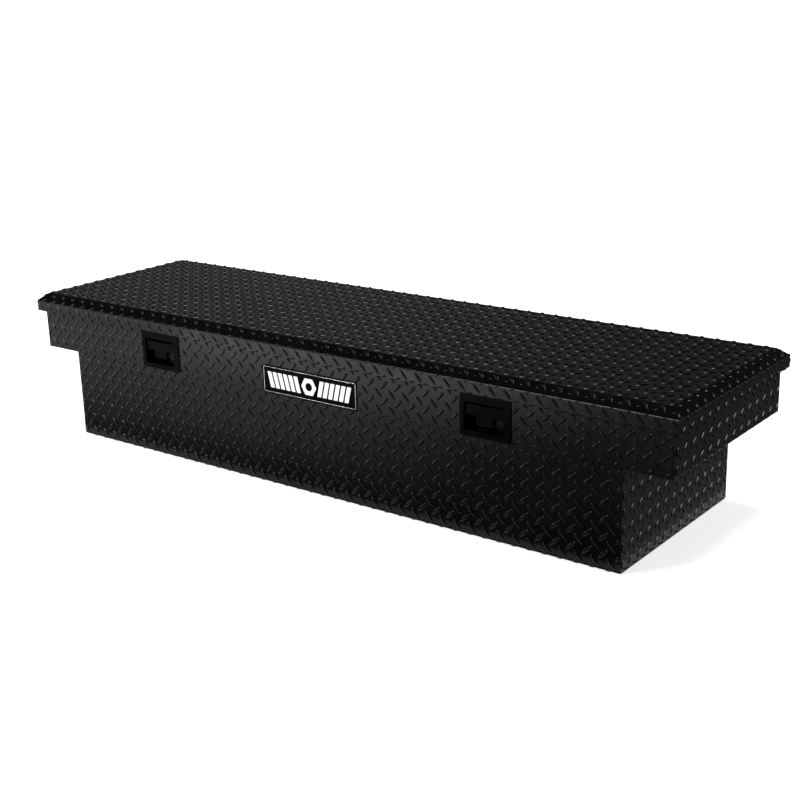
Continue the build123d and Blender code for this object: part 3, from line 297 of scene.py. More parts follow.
@dataclass(frozen=True)
class ZincPlate(Finish):
    """Passivated zinc on pressed steel: a mottled spangle, slightly warm in places."""

    cool: Color = (0.46, 0.48, 0.50)
    warm: Color = (0.60, 0.57, 0.47)
    smooth: float = 0.26
    rough: float = 0.46
    spangle_per_metre: float = 260.0
    spangle_depth: float = 0.03 * MM
    smooth_from: float = 0.1
    rough_from: float = 0.7

    def material(self) -> bpy.types.Material:
        """Tint follows slow noise and gloss follows the spangle's cells."""
        graph = Graph(self.name)
        spangle = graph.cells(self.spangle_per_metre)
        tint = graph.noise(60.0, 5.0)
        graph.drive("Base Color", graph.blend(graph.spread(tint, 0, 1), self.cool, self.warm))
        gloss = graph.spread(spangle, self.smooth, self.rough, self.smooth_from, self.rough_from)
        graph.drive("Roughness", gloss)
        graph.constant("Metallic", 1.0)
        graph.relief((spangle, self.spangle_depth))
        return graph.material


@dataclass(frozen=True)
class Chrome(Finish):
    """Hard chrome: bright, with faint polishing haze."""

    base: Color = (0.72, 0.73, 0.75)
    haze: Color = (0.60, 0.61, 0.63)
    smooth: float = 0.06
    rough: float = 0.20

    def material(self) -> bpy.types.Material:
        """Haze follows noise in both colour and roughness."""
        graph = Graph(self.name)
        haze = graph.noise(120.0, 5.0)
        graph.drive("Base Color", graph.blend(graph.spread(haze, 0, 1), self.base, self.haze))
        graph.drive("Roughness", graph.spread(haze, self.smooth, self.rough))
        graph.constant("Metallic", 1.0)
        graph.relief((graph.noise(900.0, 2.0), 0.004 * MM))
        return graph.material


@dataclass(frozen=True)
class SoftFinish(Finish):
    """Matt porous stuff: sponge rubber or foam, with open pores of one size."""

    dark: Color = (0.010, 0.010, 0.010)
    light: Color = (0.028, 0.028, 0.028)
    roughness: float = 0.75
    rough_spread: float = 0.12
    pores_per_metre: float = 1400.0
    pore_depth: float = 0.12 * MM

    def material(self) -> bpy.types.Material:
        """Pores are cells that darken the colour and dent the surface."""
        graph = Graph(self.name)
        pores = graph.cells(self.pores_per_metre)
        graph.drive("Base Color", graph.blend(graph.spread(pores, 0, 1, 0.1, 0.6), self.dark, self.light))
        slow = graph.noise(25.0, 4.0)
        low, high = self.roughness - self.rough_spread, self.roughness + self.rough_spread
        graph.drive("Roughness", graph.spread(slow, low, high))
        graph.constant("Specular IOR Level", 0.3)
        graph.relief((slow, self.pore_depth), (pores, self.pore_depth))
        return graph.material


@dataclass(frozen=True)
class Wardrobe:
    """Every finish on the box, by record slot, and the two that only the nameplate's inlays wear."""

    finishes: dict[Slot, Finish] = field(
        default_factory=lambda: {
            Slot.TREAD: PowderCoat("black_powder_coat_on_tread_plate"),
            Slot.LINER: BrushedMetal(
                "mill_finish_aluminium",
                dark=(0.40, 0.41, 0.42),
                light=(0.50, 0.51, 0.52),
                smooth=0.44,
                rough=0.52,
            ),
            Slot.FOAM: SoftFinish(
                "cream_panel_foam", dark=(0.42, 0.36, 0.24), light=(0.72, 0.64, 0.46), pores_per_metre=900.0
            ),
            Slot.SEAL: SoftFinish("sponge_rubber_seal"),
            Slot.PLATE: PowderCoat(
                "black_plate_enamel",
                dark=(0.0004, 0.0004, 0.0005),
                light=(0.0008, 0.0008, 0.0009),
                smooth=0.16,
                rough=0.26,
                specular=0.012,
                peel_depth=0.01 * MM,
                grain_depth=0.003 * MM,
            ),
            Slot.HINGE: BrushedMetal(
                "stainless_hinge_stock", dark=(0.36, 0.36, 0.37), light=(0.55, 0.55, 0.56)
            ),
            Slot.LATCH: PowderCoat(
                "fine_texture_black_on_cast_latch",
                dark=(0.0005, 0.0005, 0.0006),
                light=(0.0010, 0.0010, 0.0011),
                smooth=0.16,
                rough=0.26,
                specular=0.016,
                peel_per_metre=1100.0,
                peel_depth=0.02 * MM,
            ),
            Slot.ZINC: ZincPlate("clear_zinc_plate"),
            Slot.LOCK: Chrome(
                "black_chrome_lock",
                base=(0.009, 0.009, 0.010),
                haze=(0.004, 0.004, 0.0045),
                smooth=0.16,
                rough=0.30,
            ),
            Slot.STRUT: PowderCoat(
                "gloss_black_strut_paint", smooth=0.12, rough=0.22, peel_per_metre=200.0, peel_depth=0.02 * MM
            ),
            Slot.ROD: Chrome("hard_chrome_rod", smooth=0.04, rough=0.12),
        }
    )
    inlay: Finish = SoftFinish(
        "white_printed_enamel",
        dark=(0.70, 0.70, 0.68),
        light=(0.86, 0.86, 0.84),
        roughness=0.42,
        rough_spread=0.08,
        pores_per_metre=300.0,
        pore_depth=0.02 * MM,
    )
    border: Finish = BrushedMetal("bright_border_strip", smooth=0.18, rough=0.30, line_depth=0.006 * MM)

    def materials(self) -> dict[Slot, bpy.types.Material]:
        """One material for each slot."""
        return {slot: finish.material() for slot, finish in self.finishes.items()}

    def dress_cad(self, materials: dict[Slot, bpy.types.Material]) -> None:
        """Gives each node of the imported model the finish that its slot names.

        Args:
            materials: the materials by slot, from materials().
        """
        for node in frame["nodes"].values():
            for held in node.material_slots:
                held.material = materials[Slot(held.material.name.split(".")[0])]
        log.info("dressed %d CAD nodes", len(frame["nodes"]))


# ---- meshes from arrays --------------------------------------------------------------------------
def new_piece(
    name: str,
    points: np.ndarray,
    faces: list[np.ndarray],
    material: bpy.types.Material,
    body: str,
    crease_degrees: float = 50.0,
) -> bpy.types.Object:
    """Makes a mesh object at the origin from whole arrays, dresses it and lets it ride on a body.

    Args:
        name: the piece's name.
        points: (n, 3) places of the vertices.
        faces: arrays of vertex indices, one row for each face, each array with its own corner count.
        material: the finish.
        body: the CAD body that it moves with.
        crease_degrees: edges sharper than this stay crisp.

    Returns:
        The new object.
    """
    mesh = bpy.data.meshes.new(name)
    corners = np.concatenate([rows.ravel() for rows in faces]).astype(np.int32)
    sizes = np.concatenate([np.full(len(rows), rows.shape[1]) for rows in faces])
    mesh.vertices.add(len(points))
    mesh.vertices.foreach_set("co", points.astype(np.float32).ravel())
    mesh.loops.add(len(corners))
    mesh.loops.foreach_set("vertex_index", corners)
    mesh.polygons.add(len(sizes))
    mesh.polygons.foreach_set("loop_start", (np.cumsum(sizes) - sizes).astype(np.int32))
    mesh.update(calc_edges=True)
    mesh.validate()
    mesh.shade_smooth()
    mesh.set_sharp_from_angle(angle=math.radians(crease_degrees))
    mesh.materials.append(material)
    piece = bpy.data.objects.new(name, mesh)
    bpy.context.scene.collection.objects.link(piece)
    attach(piece, body)
    log.info("%s rides on %s: %d vertices, %d faces", name, body, len(points), len(sizes))
    return piece


def ring_quads(rings: int, around: int) -> np.ndarray:
    """Quads between neighbouring rings of a stack, each ring closed on itself.

    The face of ring i and step j joins (i, j), (i, j+1), (i+1, j+1) and (i+1, j), steps wrapping.

    Args:
        rings: how many rings are stacked.
        around: points in each ring.

    Returns:
        (faces, 4) vertex indices.
    """
    ring, step = np.meshgrid(np.arange(rings - 1), np.arange(around), indexing="ij")
    after = (step + 1) % around
    near, far = ring * around, (ring + 1) * around
    quads = (near + step, near + after, far + after, far + step)
    return np.stack(quads, axis=-1).reshape(-1, 4)


def torus_quads(rings: int, around: int) -> list[np.ndarray]:
    """Joins rings of points as ring_quads does, and the last ring to the first.

    Args:
        rings: how many rings there are.
        around: points in each ring.

    Returns:
        The quads between neighbours, and those that close the last ring on the first.
    """
    closing = ring_quads(2, around)
    closing = np.where(closing >= around, closing - around, closing + (rings - 1) * around)
    return [ring_quads(rings, around), closing]


# ---- tread pattern --------------------------------------------------------------------------------
@dataclass(frozen=True)
class TreadLug:
    """One raised lug: a lens-shaped bar with a rounded crest and blunt ends, its foot in the sheet."""

    length: float = 31.0 * MM
    width: float = 8.6 * MM
    height: float = 2.0 * MM
    foot: float = 0.45 * MM
    blunt: float = 0.14
    steps_along: int = 8
    steps_across: int = 4

    def points(self) -> tuple[np.ndarray, np.ndarray, np.ndarray]:
        """The lug lying along its own first axis.

        With a and b from -1 to 1 along and across, the half width is the width's half times
        (1 - a^2)^0.6, no less than the blunt share, and the height above the foot is the full height
        times (1 - |b|^2.4) times (1 - a^4).

        Returns:
            Places along, across and above the sheet, each flat, in rows of steps_across + 1.
        """
        a, b = np.meshgrid(
            np.linspace(-1, 1, self.steps_along + 1), np.linspace(-1, 1, self.steps_across + 1), indexing="ij"
        )
        half_width = self.width / 2 * np.maximum((1 - a**2) ** 0.6, self.blunt)
        rise = (self.height + self.foot) * (1 - np.abs(b) ** 2.4) * (1 - a**4)
        return (a * self.length / 2).ravel(), (b * half_width).ravel(), (rise - self.foot).ravel()

    def quads(self) -> np.ndarray:
        """Top faces, wound to face away from the sheet."""
        row = self.steps_across + 1
        i, j = np.meshgrid(np.arange(self.steps_along), np.arange(self.steps_across), indexing="ij")
        first = i * row + j
        return np.stack((first, first + row, first + row + 1, first + 1), axis=-1).reshape(-1, 4)

    def floor(self) -> np.ndarray:
        """The one face that closes the lug inside the sheet, wound to face into it."""
        row = self.steps_across + 1
        last = self.steps_along * row
        side = np.arange(0, last + 1, row)
        far = np.arange(last + 1, last + row)
        back = np.arange(last - row + self.steps_across, -1, -row)
        near = np.arange(self.steps_across - 1, 0, -1)
        return np.concatenate((side, far, back, near))[::-1][None, :]


@dataclass(frozen=True)
class ClearPatch:
    """A rectangle of the sheet that a fitting covers, so lugs stop at its edge."""

    low_u: float
    high_u: float
    low_v: float
    high_v: float

    def holds(self, u: np.ndarray, v: np.ndarray) -> np.ndarray:
        """Which points lie inside."""
        return (u > self.low_u) & (u < self.high_u) & (v > self.low_v) & (v < self.high_v)

    def push_out(self, u: np.ndarray, v: np.ndarray) -> tuple[np.ndarray, np.ndarray]:
        """Moves points that lie inside to the nearest edge and leaves the others."""
        gaps = np.stack((u - self.low_u, self.high_u - u, v - self.low_v, self.high_v - v))
        nearest = np.where(self.holds(u, v), gaps.argmin(axis=0), -1)
        u = np.where(nearest == 0, self.low_u, np.where(nearest == 1, self.high_u, u))
        v = np.where(nearest == 2, self.low_v, np.where(nearest == 3, self.high_v, v))
        return u, v


class Sheet(ABC):
    """A sheet of plate with flat coordinates u and v, which knows where it lies in space."""

    @property
    @abstractmethod
    def reach(self) -> tuple[float, float, float, float]:
        """Lowest and highest u, then lowest and highest v."""

    @abstractmethod
    def keeps(self, u: np.ndarray, v: np.ndarray, spill: float) -> np.ndarray:
        """Which lug centres belong to the sheet, if they may lie past its cut edge by spill."""

    @abstractmethod
    def place(
        self, u: np.ndarray, v: np.ndarray, height: np.ndarray, centre_u: np.ndarray, centre_v: np.ndarray
    ) -> np.ndarray:
        """Places points of lugs in space.

        Args:
            u: flat coordinates, one row for each lug.
            v: the same, across.
            height: height above the sheet.
            centre_u: each lug's centre, as a column.
            centre_v: the same, across.

        Returns:
            (lugs, points, 3) places in the row frame.
        """


@dataclass(frozen=True)
class FlatSheet(Sheet):
    """A flat rectangle of plate. Its outer side faces along u cross v."""

    origin: Vector
    along: Vector
    up: Vector
    low_u: float
    high_u: float
    low_v: float
    high_v: float

    @property
    def reach(self) -> tuple[float, float, float, float]:
        """The rectangle's edges."""
        return self.low_u, self.high_u, self.low_v, self.high_v

    def keeps(self, u: np.ndarray, v: np.ndarray, spill: float) -> np.ndarray:
        """Centres inside the rectangle, grown by spill."""
        inside_u = (u > self.low_u - spill) & (u < self.high_u + spill)
        return inside_u & (v > self.low_v - spill) & (v < self.high_v + spill)

    def place(
        self, u: np.ndarray, v: np.ndarray, height: np.ndarray, centre_u: np.ndarray, centre_v: np.ndarray
    ) -> np.ndarray:
        """Origin plus u along, v up and height outward, with u and v held inside the edges."""
        u = np.clip(u, self.low_u, self.high_u)[..., None]
        v = np.clip(v, self.low_v, self.high_v)[..., None]
        outward = self.along.cross(self.up)
        return np.array(self.origin) + u * self.along + v * self.up + height[..., None] * outward


@dataclass(frozen=True)
class FoldedLid(Sheet):
    """The lid's sheet, folded down on all four sides: flat top, sloping bevel, upright skirt.

    Past the top's edge, a point at distance s along the sheet goes outward by s cos t and down by
    s sin t over the bevel, whose slope is t, and then straight down. The outward normal turns from
    up through the bevel's to level, and eases over a short stretch at each fold.
    """

    half_length: float
    half_depth: float
    top: float
    bottom: float
    bevel_run: float = 22.0 * MM
    bevel_rise: float = 17.0 * MM
    ease: float = 3.0 * MM

    @property
    def flat_u(self) -> float:
        """Half length of the flat top."""
        return self.half_length - self.bevel_run

    @property
    def flat_v(self) -> float:
        """Half depth of the flat top."""
        return self.half_depth - self.bevel_run

    @property
    def bevel(self) -> float:
        """Width of the bevel along the sheet."""
        return math.hypot(self.bevel_run, self.bevel_rise)

    @property
    def slope(self) -> float:
        """Angle of the bevel below level, in radians."""
        return math.atan2(self.bevel_rise, self.bevel_run)

    @property
    def flap(self) -> float:
        """Bevel and skirt together, along the sheet."""
        return self.bevel + self.top - self.bevel_rise - self.bottom

    @property
    def reach(self) -> tuple[float, float, float, float]:
        """The unfolded sheet's edges."""
        u = self.flat_u + self.flap
        v = self.flat_v + self.flap
        return -u, u, -v, v

    def keeps(self, u: np.ndarray, v: np.ndarray, spill: float) -> np.ndarray:
        """Centres on the top, or on a flap inside its mitred ends."""
        past_u = np.maximum(np.abs(u) - self.flat_u, 0)
        past_v = np.maximum(np.abs(v) - self.flat_v, 0)
        mitre = math.cos(self.slope)
        on_long_flap = past_u <= mitre * np.minimum(past_v, self.bevel)
        on_end_flap = past_v <= mitre * np.minimum(past_u, self.bevel)
        return (on_long_flap | on_end_flap) & (np.maximum(past_u, past_v) < self.flap + spill)

    def fold(self, past: np.ndarray) -> tuple[np.ndarray, np.ndarray, np.ndarray]:
        """Follows the flap's profile.

        Args:
            past: distance past the flat top's edge along the sheet.

        Returns:
            How far outward, how far down, and the normal's tilt from upright.
        """
        past = np.minimum(past, self.flap)
        on_bevel = np.minimum(past, self.bevel)
        outward = on_bevel * math.cos(self.slope)
        down = on_bevel * math.sin(self.slope) + past - on_bevel
        first = np.clip((past + self.ease) / (2 * self.ease), 0, 1)
        second = np.clip((past - self.bevel + self.ease) / (2 * self.ease), 0, 1)
        return outward, down, first * self.slope + second * (math.pi / 2 - self.slope)

    def place(
        self, u: np.ndarray, v: np.ndarray, height: np.ndarray, centre_u: np.ndarray, centre_v: np.ndarray
    ) -> np.ndarray:
        """Folds each lug over the edge that it is nearest to, held inside the flap's mitres."""
        past_u, past_v = np.abs(u) - self.flat_u, np.abs(v) - self.flat_v
        centre_past_u = np.abs(centre_u) - self.flat_u
        centre_past_v = np.abs(centre_v) - self.flat_v
        over_long_edge = np.where(
            np.maximum(centre_past_u, centre_past_v) > 0, centre_past_v > centre_past_u, past_v > past_u
        )
        crossing = np.where(over_long_edge, past_v, past_u)
        outward, down, tilt = self.fold(crossing)
        at_edge = crossing > -self.ease
        outward = np.where(crossing > 0, outward, crossing)
        down = np.where(crossing > 0, down, 0)
        tilt = np.where(at_edge, tilt, 0)
        mitre = np.maximum(outward, 0)
        other = np.where(over_long_edge, u, v)
        limit = np.where(over_long_edge, self.flat_u, self.flat_v) + mitre
        other = np.clip(other, -limit, limit)
        side = np.sign(np.where(over_long_edge, v, u))
        edge = np.where(over_long_edge, self.flat_v, self.flat_u)
        along = side * (edge + outward + height * np.sin(tilt))
        x = np.where(over_long_edge, other, along)
        y = np.where(over_long_edge, along, other)
        z = self.top - down + height * np.cos(tilt)
        return np.stack((x, y, z), axis=-1)


@dataclass
class TreadPanel:
    """The raised lugs of one sheet, on a square lattice with every second lug turned the other way.

    The lug that lies down to the right nearest the sheet's zero has its centre at phase_u, phase_v.
    """

    name: str
    body: str
    sheet: Sheet
    clear: list[ClearPatch] = field(default_factory=list)
    lug: TreadLug = TreadLug()
    phase_u: float = 0.0
    phase_v: float = 0.0
    pitch: float = 36.0 * MM
    spill: float = 6.0 * MM

    def lattice(self) -> tuple[np.ndarray, np.ndarray, np.ndarray]:
        """Centres and turns of the lugs: at whole pitches one way, at half pitches the other.

        Returns:
            Columns of u, v and turn in radians, one row for each lug.
        """
        low_u, high_u, low_v, high_v = (edge / self.pitch for edge in self.sheet.reach)
        columns = np.arange(math.floor(low_u) - 2, math.ceil(high_u) + 3) * self.pitch + self.phase_u
        rows = np.arange(math.floor(low_v) - 2, math.ceil(high_v) + 3) * self.pitch + self.phase_v
        u, v = (grid.ravel() for grid in np.meshgrid(columns, rows, indexing="ij"))
        centres_u = np.concatenate((u, u + self.pitch / 2))
        centres_v = np.concatenate((v, v + self.pitch / 2))
        turns = np.repeat((-math.pi / 4, math.pi / 4), len(u))
        kept = self.sheet.keeps(centres_u, centres_v, self.spill)
        return centres_u[kept, None], centres_v[kept, None], turns[kept, None]

    def build(self, material: bpy.types.Material) -> bpy.types.Object:
        """Turns, moves and folds every lug at once.

        Args:
            material: the sheet's own finish.

        Returns:
            The panel's lugs as one piece.
        """
        centre_u, centre_v, turn = self.lattice()
        along, across, height = self.lug.points()
        u = centre_u + along * np.cos(turn) - across * np.sin(turn)
        v = centre_v + along * np.sin(turn) + across * np.cos(turn)
        for patch in self.clear:
            shown = ~patch.holds(u, v).all(axis=1)
            u, v, centre_u, centre_v = u[shown], v[shown], centre_u[shown], centre_v[shown]
            u, v = patch.push_out(u, v)
        heights = np.broadcast_to(height, u.shape)
        places = self.sheet.place(u, v, heights, centre_u, centre_v)
        firsts = np.arange(len(u))[:, None, None] * len(along)
        quads = (firsts + self.lug.quads()).reshape(-1, 4)
        floors = (firsts + self.lug.floor()).reshape(len(u), -1)
        return new_piece(self.name, places.reshape(-1, 3), [quads, floors], material, self.body)


@dataclass
class TreadPlateShell:
    """All the tread pattern of the box: lid, upper walls, tub and wings."""

    margin: float = 3.0 * MM
    latch_play: float = 0.5 * MM
    rail_hole_clear: float = 9.0 * MM
    rail_hole_spacing: float = 300.0 * MM
    skirt_gap: float = 2.0 * MM

    def lid(self) -> TreadPanel:
        """The lid's top, bevels and skirts."""
        low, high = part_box("lid_skin")
        sheet = FoldedLid(high.x, high.y, high.z, low.z)
        return TreadPanel("lid_tread", "lid", sheet, phase_u=19.0 * MM, phase_v=15.0 * MM)

    def wall(
        self,
        name: str,
        node: str,
        front: bool,
        top: float,
        clear: list[ClearPatch],
        phase: tuple[float, float],
    ) -> TreadPanel:
        """A long wall that faces the front or the back.

        Args:
            name: the panel's name.
            node: the CAD node that it lies on.
            front: True if it faces the front.
            top: height where its lugs end.
            clear: patches that fittings cover.
            phase: where its lattice starts along the box and upward.

        Returns:
            The panel, with u along the box and v up.
        """
        low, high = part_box(node)
        y = low.y if front else high.y
        along = Vector((1, 0, 0)) if front else Vector((-1, 0, 0))
        sheet = FlatSheet(
            Vector((0, y, 0)), along, Vector((0, 0, 1)), low.x + self.margin, high.x - self.margin,
            low.z + self.margin, top - self.margin / 2,
        )
        return TreadPanel(name, "box", sheet, clear, phase_u=phase[0], phase_v=phase[1])

    def end(self, name: str, hand: Hand, x: float, low: Vector, high: Vector) -> TreadPanel:
        """An end wall at x, between two corners' depths and heights.

        Args:
            name: the panel's name.
            hand: which end it closes.
            x: its outer face.
            low: corner that gives the lowest y and z.
            high: corner that gives the highest y and z.

        Returns:
            The panel, with u across the box and v up.
        """
        sheet = FlatSheet(
            Vector((x, 0, 0)), Vector((0, hand.value, 0)), Vector((0, 0, 1)), low.y + self.margin,
            high.y - self.margin, low.z + self.margin, high.z - self.margin,
        )
        return TreadPanel(name, "box", sheet)

    def underside(
        self, name: str, z: float, low: Vector, high: Vector, clear: list[ClearPatch]
    ) -> TreadPanel:
        """A level sheet whose lugs point down, with v along -Y.

        Args:
            name: the panel's name.
            z: height of its lower face.
            low: lowest corner.
            high: highest corner.
            clear: patches without lugs, in u along X and v along -Y.

        Returns:
            The panel.
        """
        sheet = FlatSheet(
            Vector((0, 0, z)), Vector((1, 0, 0)), Vector((0, -1, 0)), low.x + self.margin,
            high.x - self.margin, -high.y + self.margin, -low.y - self.margin,
        )
        return TreadPanel(name, "box", sheet, clear)

    def fittings(self) -> list[ClearPatch]:
        """Patches that the latch bezels and the nameplate cover on the front wall."""
        patches = []
        for node in ("latch_dish_left", "latch_dish_right", "nameplate"):
            low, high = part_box(node)
            play = self.latch_play
            patches.append(ClearPatch(low.x - play, high.x + play, low.z - play, high.z + play))
        return patches

    def rail_holes(self, x: float) -> list[ClearPatch]:
        """Patches round the two clamp holes of one wing."""
        reach = self.rail_hole_clear
        rows = (-self.rail_hole_spacing / 2, self.rail_hole_spacing / 2)
        return [ClearPatch(x - reach, x + reach, y - reach, y + reach) for y in rows]

    def panels(self) -> list[TreadPanel]:
        """Every panel, from the lid down. The upper walls and the tub were rolled with their own lattices."""
        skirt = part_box("lid_skin")[0].z
        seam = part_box("front_wall")[0].z
        upper, lower = (11.0 * MM, 19.0 * MM), (-6.0 * MM, 16.0 * MM)
        found = [
            self.lid(),
            self.wall("front_wall_tread", "front_wall", True, skirt - self.skirt_gap, self.fittings(), upper),
            self.wall("back_wall_tread", "back_wall", False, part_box("hinge_leaf_box")[0].z, [], upper),
            self.wall("tub_front_tread", "tub_shell", True, seam, [], lower),
            self.wall("tub_back_tread", "tub_shell", False, seam, [], lower),
        ]
        tub_low, tub_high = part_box("tub_shell")
        for hand in Hand:
            wing_low, wing_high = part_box(f"wing_{hand.word}")
            end_low, end_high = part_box(f"tub_end_{hand.word}")
            tub_x, wing_x = hand.value * tub_high.x, hand.value * max(abs(wing_low.x), abs(wing_high.x))
            end_top = Vector((0, wing_high.y, skirt))
            end_foot = Vector((0, wing_low.y, seam))
            found.append(self.end(f"tub_end_tread_{hand.word}", hand, tub_x, end_low, end_high))
            found.append(self.end(f"wing_end_tread_{hand.word}", hand, wing_x, end_foot, end_top))
            inner, outer = sorted((tub_x, wing_x))
            found.append(
                self.underside(
                    f"wing_underside_tread_{hand.word}", seam,
                    Vector((inner, wing_low.y, 0)), Vector((outer, wing_high.y, 0)),
                    self.rail_holes((tub_x + wing_x) / 2),
                )
            )
        found.append(self.underside("tub_floor_tread", 0.0, tub_low, tub_high, []))
        return found

    def build(self, material: bpy.types.Material) -> None:
        """Raises every panel's lugs in the sheets' own finish."""
        for panel in self.panels():
            panel.build(material)


# ---- nameplate ------------------------------------------------------------------------------------
@dataclass
class Nameplate:
    """The plate's bright border and its plain emblem: a hexagon nut between slanted bars."""

    corner: float = 6.0 * MM
    border_inset: float = 3.2 * MM
    border_width: float = 1.2 * MM
    border_height: float = 0.5 * MM
    inlay_height: float = 0.35 * MM
    nut_radius: float = 21.5 * MM
    nut_bore: float = 9.5 * MM
    bar_height: float = 36.0 * MM
    bar_width: float = 11.0 * MM
    bar_pitch: float = 15.3 * MM
    bar_slant: float = 9.0 * MM
    bars: int = 6
    shoulder_share: float = 0.7
    bar_crown_share: float = 0.96
    nut_crown_share: float = 0.97
    bore_flare: float = 1.05
    inlay_crease: float = 30.0
    arc_steps: int = 8
    border_steps: int = 6
    nut_steps: int = 48

    def on_plate(self, flat: np.ndarray, height: np.ndarray | float) -> np.ndarray:
        """Carries flat points to the plate's face.

        Args:
            flat: (..., 2) places right of and above the plate's middle.
            height: height above its face.

        Returns:
            (..., 3) places in the row frame: right is +X, above is +Z and outward is -Y.
        """
        low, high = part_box("nameplate")
        middle = (low + high) / 2
        x = middle.x + flat[..., 0]
        z = middle.z + flat[..., 1]
        return np.stack((x, np.broadcast_to(low.y - height, x.shape), z), axis=-1)

    def rounded(self, inset: float) -> np.ndarray:
        """The plate's outline drawn in by inset.

        Each corner is a quarter circle of the corner radius less inset, starting at lower right.

        Args:
            inset: distance inside the plate's edge.

        Returns:
            (points, 2) outline, counter-clockwise.
        """
        low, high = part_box("nameplate")
        half = np.array(((high.x - low.x) / 2, (high.z - low.z) / 2)) - self.corner
        turn = np.linspace(0, math.pi / 2, self.arc_steps + 1)
        corner = np.arange(4)[:, None] * math.pi / 2 - math.pi / 2
        angle = (corner + turn).ravel()
        signs = np.repeat(np.array(((1, -1), (1, 1), (-1, 1), (-1, -1))), self.arc_steps + 1, axis=0)
        return signs * half + (self.corner - inset) * np.stack((np.cos(angle), np.sin(angle)), axis=-1)

    def build_border(self, material: bpy.types.Material) -> None:
        """Carries a half-round profile round the outline; the last ring closes on the first."""
        turn = np.linspace(0, math.pi, self.border_steps + 1)
        insets = self.border_inset + self.border_width / 2 * (1 - np.cos(turn))
        rise = self.border_height * np.sin(turn)
        rise[[0, -1]] = -self.border_height / 2
        rings = np.concatenate([self.on_plate(self.rounded(d), h) for d, h in zip(insets, rise)])
        around = 4 * (self.arc_steps + 1)
        quads = torus_quads(len(turn), around)
        new_piece("nameplate_border", rings, quads, material, "box")

    def bar_outlines(self) -> np.ndarray:
        """Slanted bars to the right of the nut, mirrored to the left.

        Returns:
            (bars, 4, 2) outlines, counter-clockwise.
        """
        start = self.nut_radius + self.bar_pitch / 2 + self.bar_slant / 2
        middles = start + self.bar_pitch * np.arange(self.bars)
        half, rise, lean = self.bar_width / 2, self.bar_height / 2, self.bar_slant / 2
        bar = np.array(
            ((-half - lean, -rise), (half - lean, -rise), (half + lean, rise), (-half + lean, rise))
        )
        right = bar + np.stack((middles, np.zeros(self.bars)), axis=-1)[:, None, :]
        left = right[:, ::-1] * np.array((-1, 1))
        return np.concatenate((left, right))

    def build_bars(self, material: bpy.types.Material) -> None:
        """Raises each bar as a thin block whose top edge is drawn in a little."""
        outlines = self.bar_outlines()
        centres = outlines.mean(axis=1, keepdims=True)
        crown = centres + (outlines - centres) * self.bar_crown_share
        bottom = self.on_plate(outlines, -self.inlay_height)
        shoulder = self.on_plate(outlines, self.inlay_height * self.shoulder_share)
        top = self.on_plate(crown, self.inlay_height)
        rings = (bottom, shoulder, top)
        points = np.concatenate(rings, axis=1)
        corners = np.arange(outlines.shape[1])
        first = np.arange(len(outlines))[:, None, None] * points.shape[1]
        quads = (first + ring_quads(len(rings), len(corners))).reshape(-1, 4)
        caps = (first[:, 0] + corners + (len(rings) - 1) * len(corners)).reshape(-1, 4)
        feet = (first[:, 0] + corners[::-1]).reshape(-1, 4)
        faces = [quads, caps, feet]
        points = points.reshape(-1, 3)
        new_piece("nameplate_bars", points, faces, material, "box", self.inlay_crease)

    def build_nut(self, material: bpy.types.Material) -> None:
        """Raises the hexagon with its round bore as a ring of four-sided rings.

        Outward from the bore, the radius is the bore's or the hexagon's: at angle t the hexagon's
        radius is the corner radius times cos 30 over cos of the angle from the flat's middle.
        """
        angle = np.arange(self.nut_steps) / self.nut_steps * 2 * math.pi
        from_flat = (angle % (math.pi / 3)) - math.pi / 6
        hexagon = self.nut_radius * math.cos(math.pi / 6) / np.cos(from_flat)
        ray = np.stack((np.cos(angle), np.sin(angle)), axis=-1)
        bore = np.full(self.nut_steps, self.nut_bore)
        edge = self.inlay_height
        shoulder = self.shoulder_share * edge
        profile = (
            (hexagon, -edge),
            (hexagon, shoulder),
            (hexagon * self.nut_crown_share, edge),
            (bore * self.bore_flare, edge),
            (bore, shoulder),
            (bore, -edge),
        )
        rings = np.concatenate([self.on_plate(ray * radius[:, None], h) for radius, h in profile])
        quads = torus_quads(len(profile), self.nut_steps)
        new_piece("nameplate_nut", rings, quads, material, "box", self.inlay_crease)

    def build(self, wardrobe: Wardrobe) -> None:
        """Adds the border and the emblem to the plate."""
        self.build_border(wardrobe.border.material())
        white = wardrobe.inlay.material()
        self.build_bars(white)
        self.build_nut(white)


